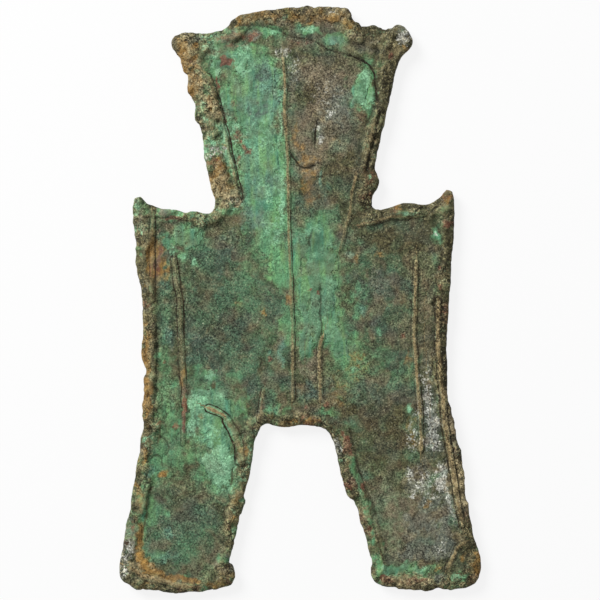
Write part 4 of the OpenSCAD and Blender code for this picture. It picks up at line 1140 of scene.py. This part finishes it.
    # Grit of light and dark, from dust and from the coarse scabs, calmer on the crusts
    dust_swing = add_node(tree, "MapRange", {"Value": mottle, "From Min": 0.35, "From Max": 0.65,
                                             "To Min": 2.8, "To Max": 5.6})
    dust_swing = add_node(tree, "Math", [crusted, -2.6, dust_swing], operation="MULTIPLY_ADD")
    scab_swing = add_node(tree, "MapRange", {"Value": crusted, "To Min": 1.6, "To Max": 0.4})
    light = 1.0
    for noise, swing in ((dust, dust_swing), (scab, scab_swing)):
        off = add_node(tree, "Math", [noise, 0.5], operation="SUBTRACT")
        light = add_node(tree, "Math", [off, swing, light], operation="MULTIPLY_ADD")
    light = add_node(tree, "Math", [light, DARKEST_GRIT], operation="MAXIMUM")
    colour = add_node(tree, "Mix", {0: 1.0, 6: colour, 7: light}, out=2, data_type="RGBA",
                      blend_type="MULTIPLY")

    # Bump of dust, grit and the edges of the coarse scabs
    flakes = add_node(tree, "MapRange", {"Value": scab, "From Min": 0.47, "From Max": 0.53},
                      interpolation_type="SMOOTHSTEP")
    flakes = add_node(tree, "Math", [flakes, scabby], operation="MULTIPLY")
    height = add_node(tree, "Math", [dust, grit], operation="ADD")
    height = add_node(tree, "Math", [flakes, 0.5, height], operation="MULTIPLY_ADD")
    bump = add_node(tree, "Bump", {"Height": height, "Strength": 0.8, "Distance": bump_mm * MM})
    gloss = add_node(tree, "MapRange", {"Value": mottle, "To Min": roughness - 0.1,
                                        "To Max": roughness + 0.1})
    shader = add_node(tree, "BsdfPrincipled", {"Base Color": colour, "Roughness": gloss, "Normal": bump,
                                               "Specular IOR Level": 0.15})
    add_node(tree, "OutputMaterial", {"Surface": shader})
    return material


# Leaded tin bronze, mould-cast and long buried: an olive-brown patina, dull, with every stain over it
BRONZE = patina("patinated_bronze", ("#3b412a", "#6a7052"), ALL_LAYERS, 0.68, 0.07)
# Malachite: powdery green copper carbonate, a little paler where it is thick
MALACHITE = patina("malachite", ("#4d7453", "#82b08a"), OVER_MALACHITE, 0.8, 0.07)
# Burial earth: hardened ochre grit
EARTH = patina("burial_earth", ("#463720", "#7c6646"), ALL_LAYERS, 0.9, 0.08)
# Lead carbonate: a grey-white bloom with the bronze showing through
LEAD = patina("lead_carbonate", ("#6a6d60", "#a3a697"), OVER_LEAD, 0.85, 0.07)
FINISHES = {
    "malachite": ("malachite", MALACHITE),
    "ochre": ("burial_earth", EARTH),
    "lead": ("lead_carbonate", LEAD),
}

coin = casting()
coin.data.materials.append(BRONZE)
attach(coin, "root")
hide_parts("bronze_casting")
for node, (stain, thickness, edge) in CRUSTS.items():
    piece = crust(node, stain, thickness, edge)
    slot, finish = FINISHES[stain]
    piece.data.materials.append(finish)
    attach(piece, "root")
    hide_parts(node)


def seen_directly(tree):
    """1 for rays straight from the camera, off a gloss or through glass, and 0 for the rest."""
    seen = 0.0
    for kind in ("Is Camera Ray", "Is Glossy Ray", "Is Transmission Ray"):
        seen = add_node(tree, "Math", [add_node(tree, "LightPath", out=kind), seen], operation="ADD")
    return seen


# Stage, in metres: a pale floor that the camera sees as nearly white, with the coin's shadow on it
FLOOR_HALF = 2.0
# The share of white that the camera sees in place of the lit paper
FLOOR_GLOW = 0.85
floor_mesh = bpy.data.meshes.new("floor")
floor_corners = [(x * FLOOR_HALF, y * FLOOR_HALF, 0) for x, y in ((-1, -1), (1, -1), (1, 1), (-1, 1))]
floor_mesh.from_pydata(floor_corners, [], [(0, 1, 2, 3)])
floor = add_object("floor", floor_mesh)
paper = bpy.data.materials.new("white_paper")
tree = empty_tree(paper)
glowing = add_node(tree, "MapRange", {"Value": seen_directly(tree), "To Max": FLOOR_GLOW})
matte = add_node(tree, "BsdfDiffuse", {"Color": linear("#f2f2f2")})
glow = add_node(tree, "Emission", {"Color": linear("#ffffff"), "Strength": 1})
mixed = add_node(tree, "MixShader", [glowing, matte, glow])
add_node(tree, "OutputMaterial", {"Surface": mixed})
floor_mesh.materials.append(paper)

# Soft light from all round, which the camera sees as white
SKY_LIGHT = 0.3
world = bpy.data.worlds.new("studio")
bpy.context.scene.world = world
tree = empty_tree(world)
strength = add_node(tree, "MapRange", {"Value": seen_directly(tree), "To Min": SKY_LIGHT, "To Max": 1})
sky = add_node(tree, "Background", {"Color": linear("#ffffff"), "Strength": strength})
add_node(tree, "OutputWorld", {"Surface": sky})

# A soft box high on the upper left, turned to the coin, in metres and watts
LAMP_AT = (-0.23, 0.23, 0.23)
LAMP_SIZE = 0.2
LAMP_POWER = 1.85
lamp = bpy.data.lights.new("soft_box", "AREA")
lamp.shape = "DISK"
lamp.size = LAMP_SIZE
lamp.energy = LAMP_POWER
soft_box = add_object("soft_box", lamp)
soft_box.location = LAMP_AT
soft_box.rotation_euler = (-soft_box.location).to_track_quat("-Z", "Y").to_euler()

# Camera: straight above, so that 600 pixels take in 50 mm at the level of the obverse
SENSOR_W = 36
LENS = 100
VIEW_W = 50
lens = bpy.data.cameras.new("camera")
lens.sensor_width = SENSOR_W
lens.lens = LENS
lens.clip_start = 0.01
lens.clip_end = 10
camera = add_object("camera", lens)
camera.location = (0, 0, (VIEW_W * LENS / SENSOR_W + OBVERSE_Z) * MM)
bpy.context.scene.camera = camera
bpy.context.scene.view_settings.view_transform = "Standard"
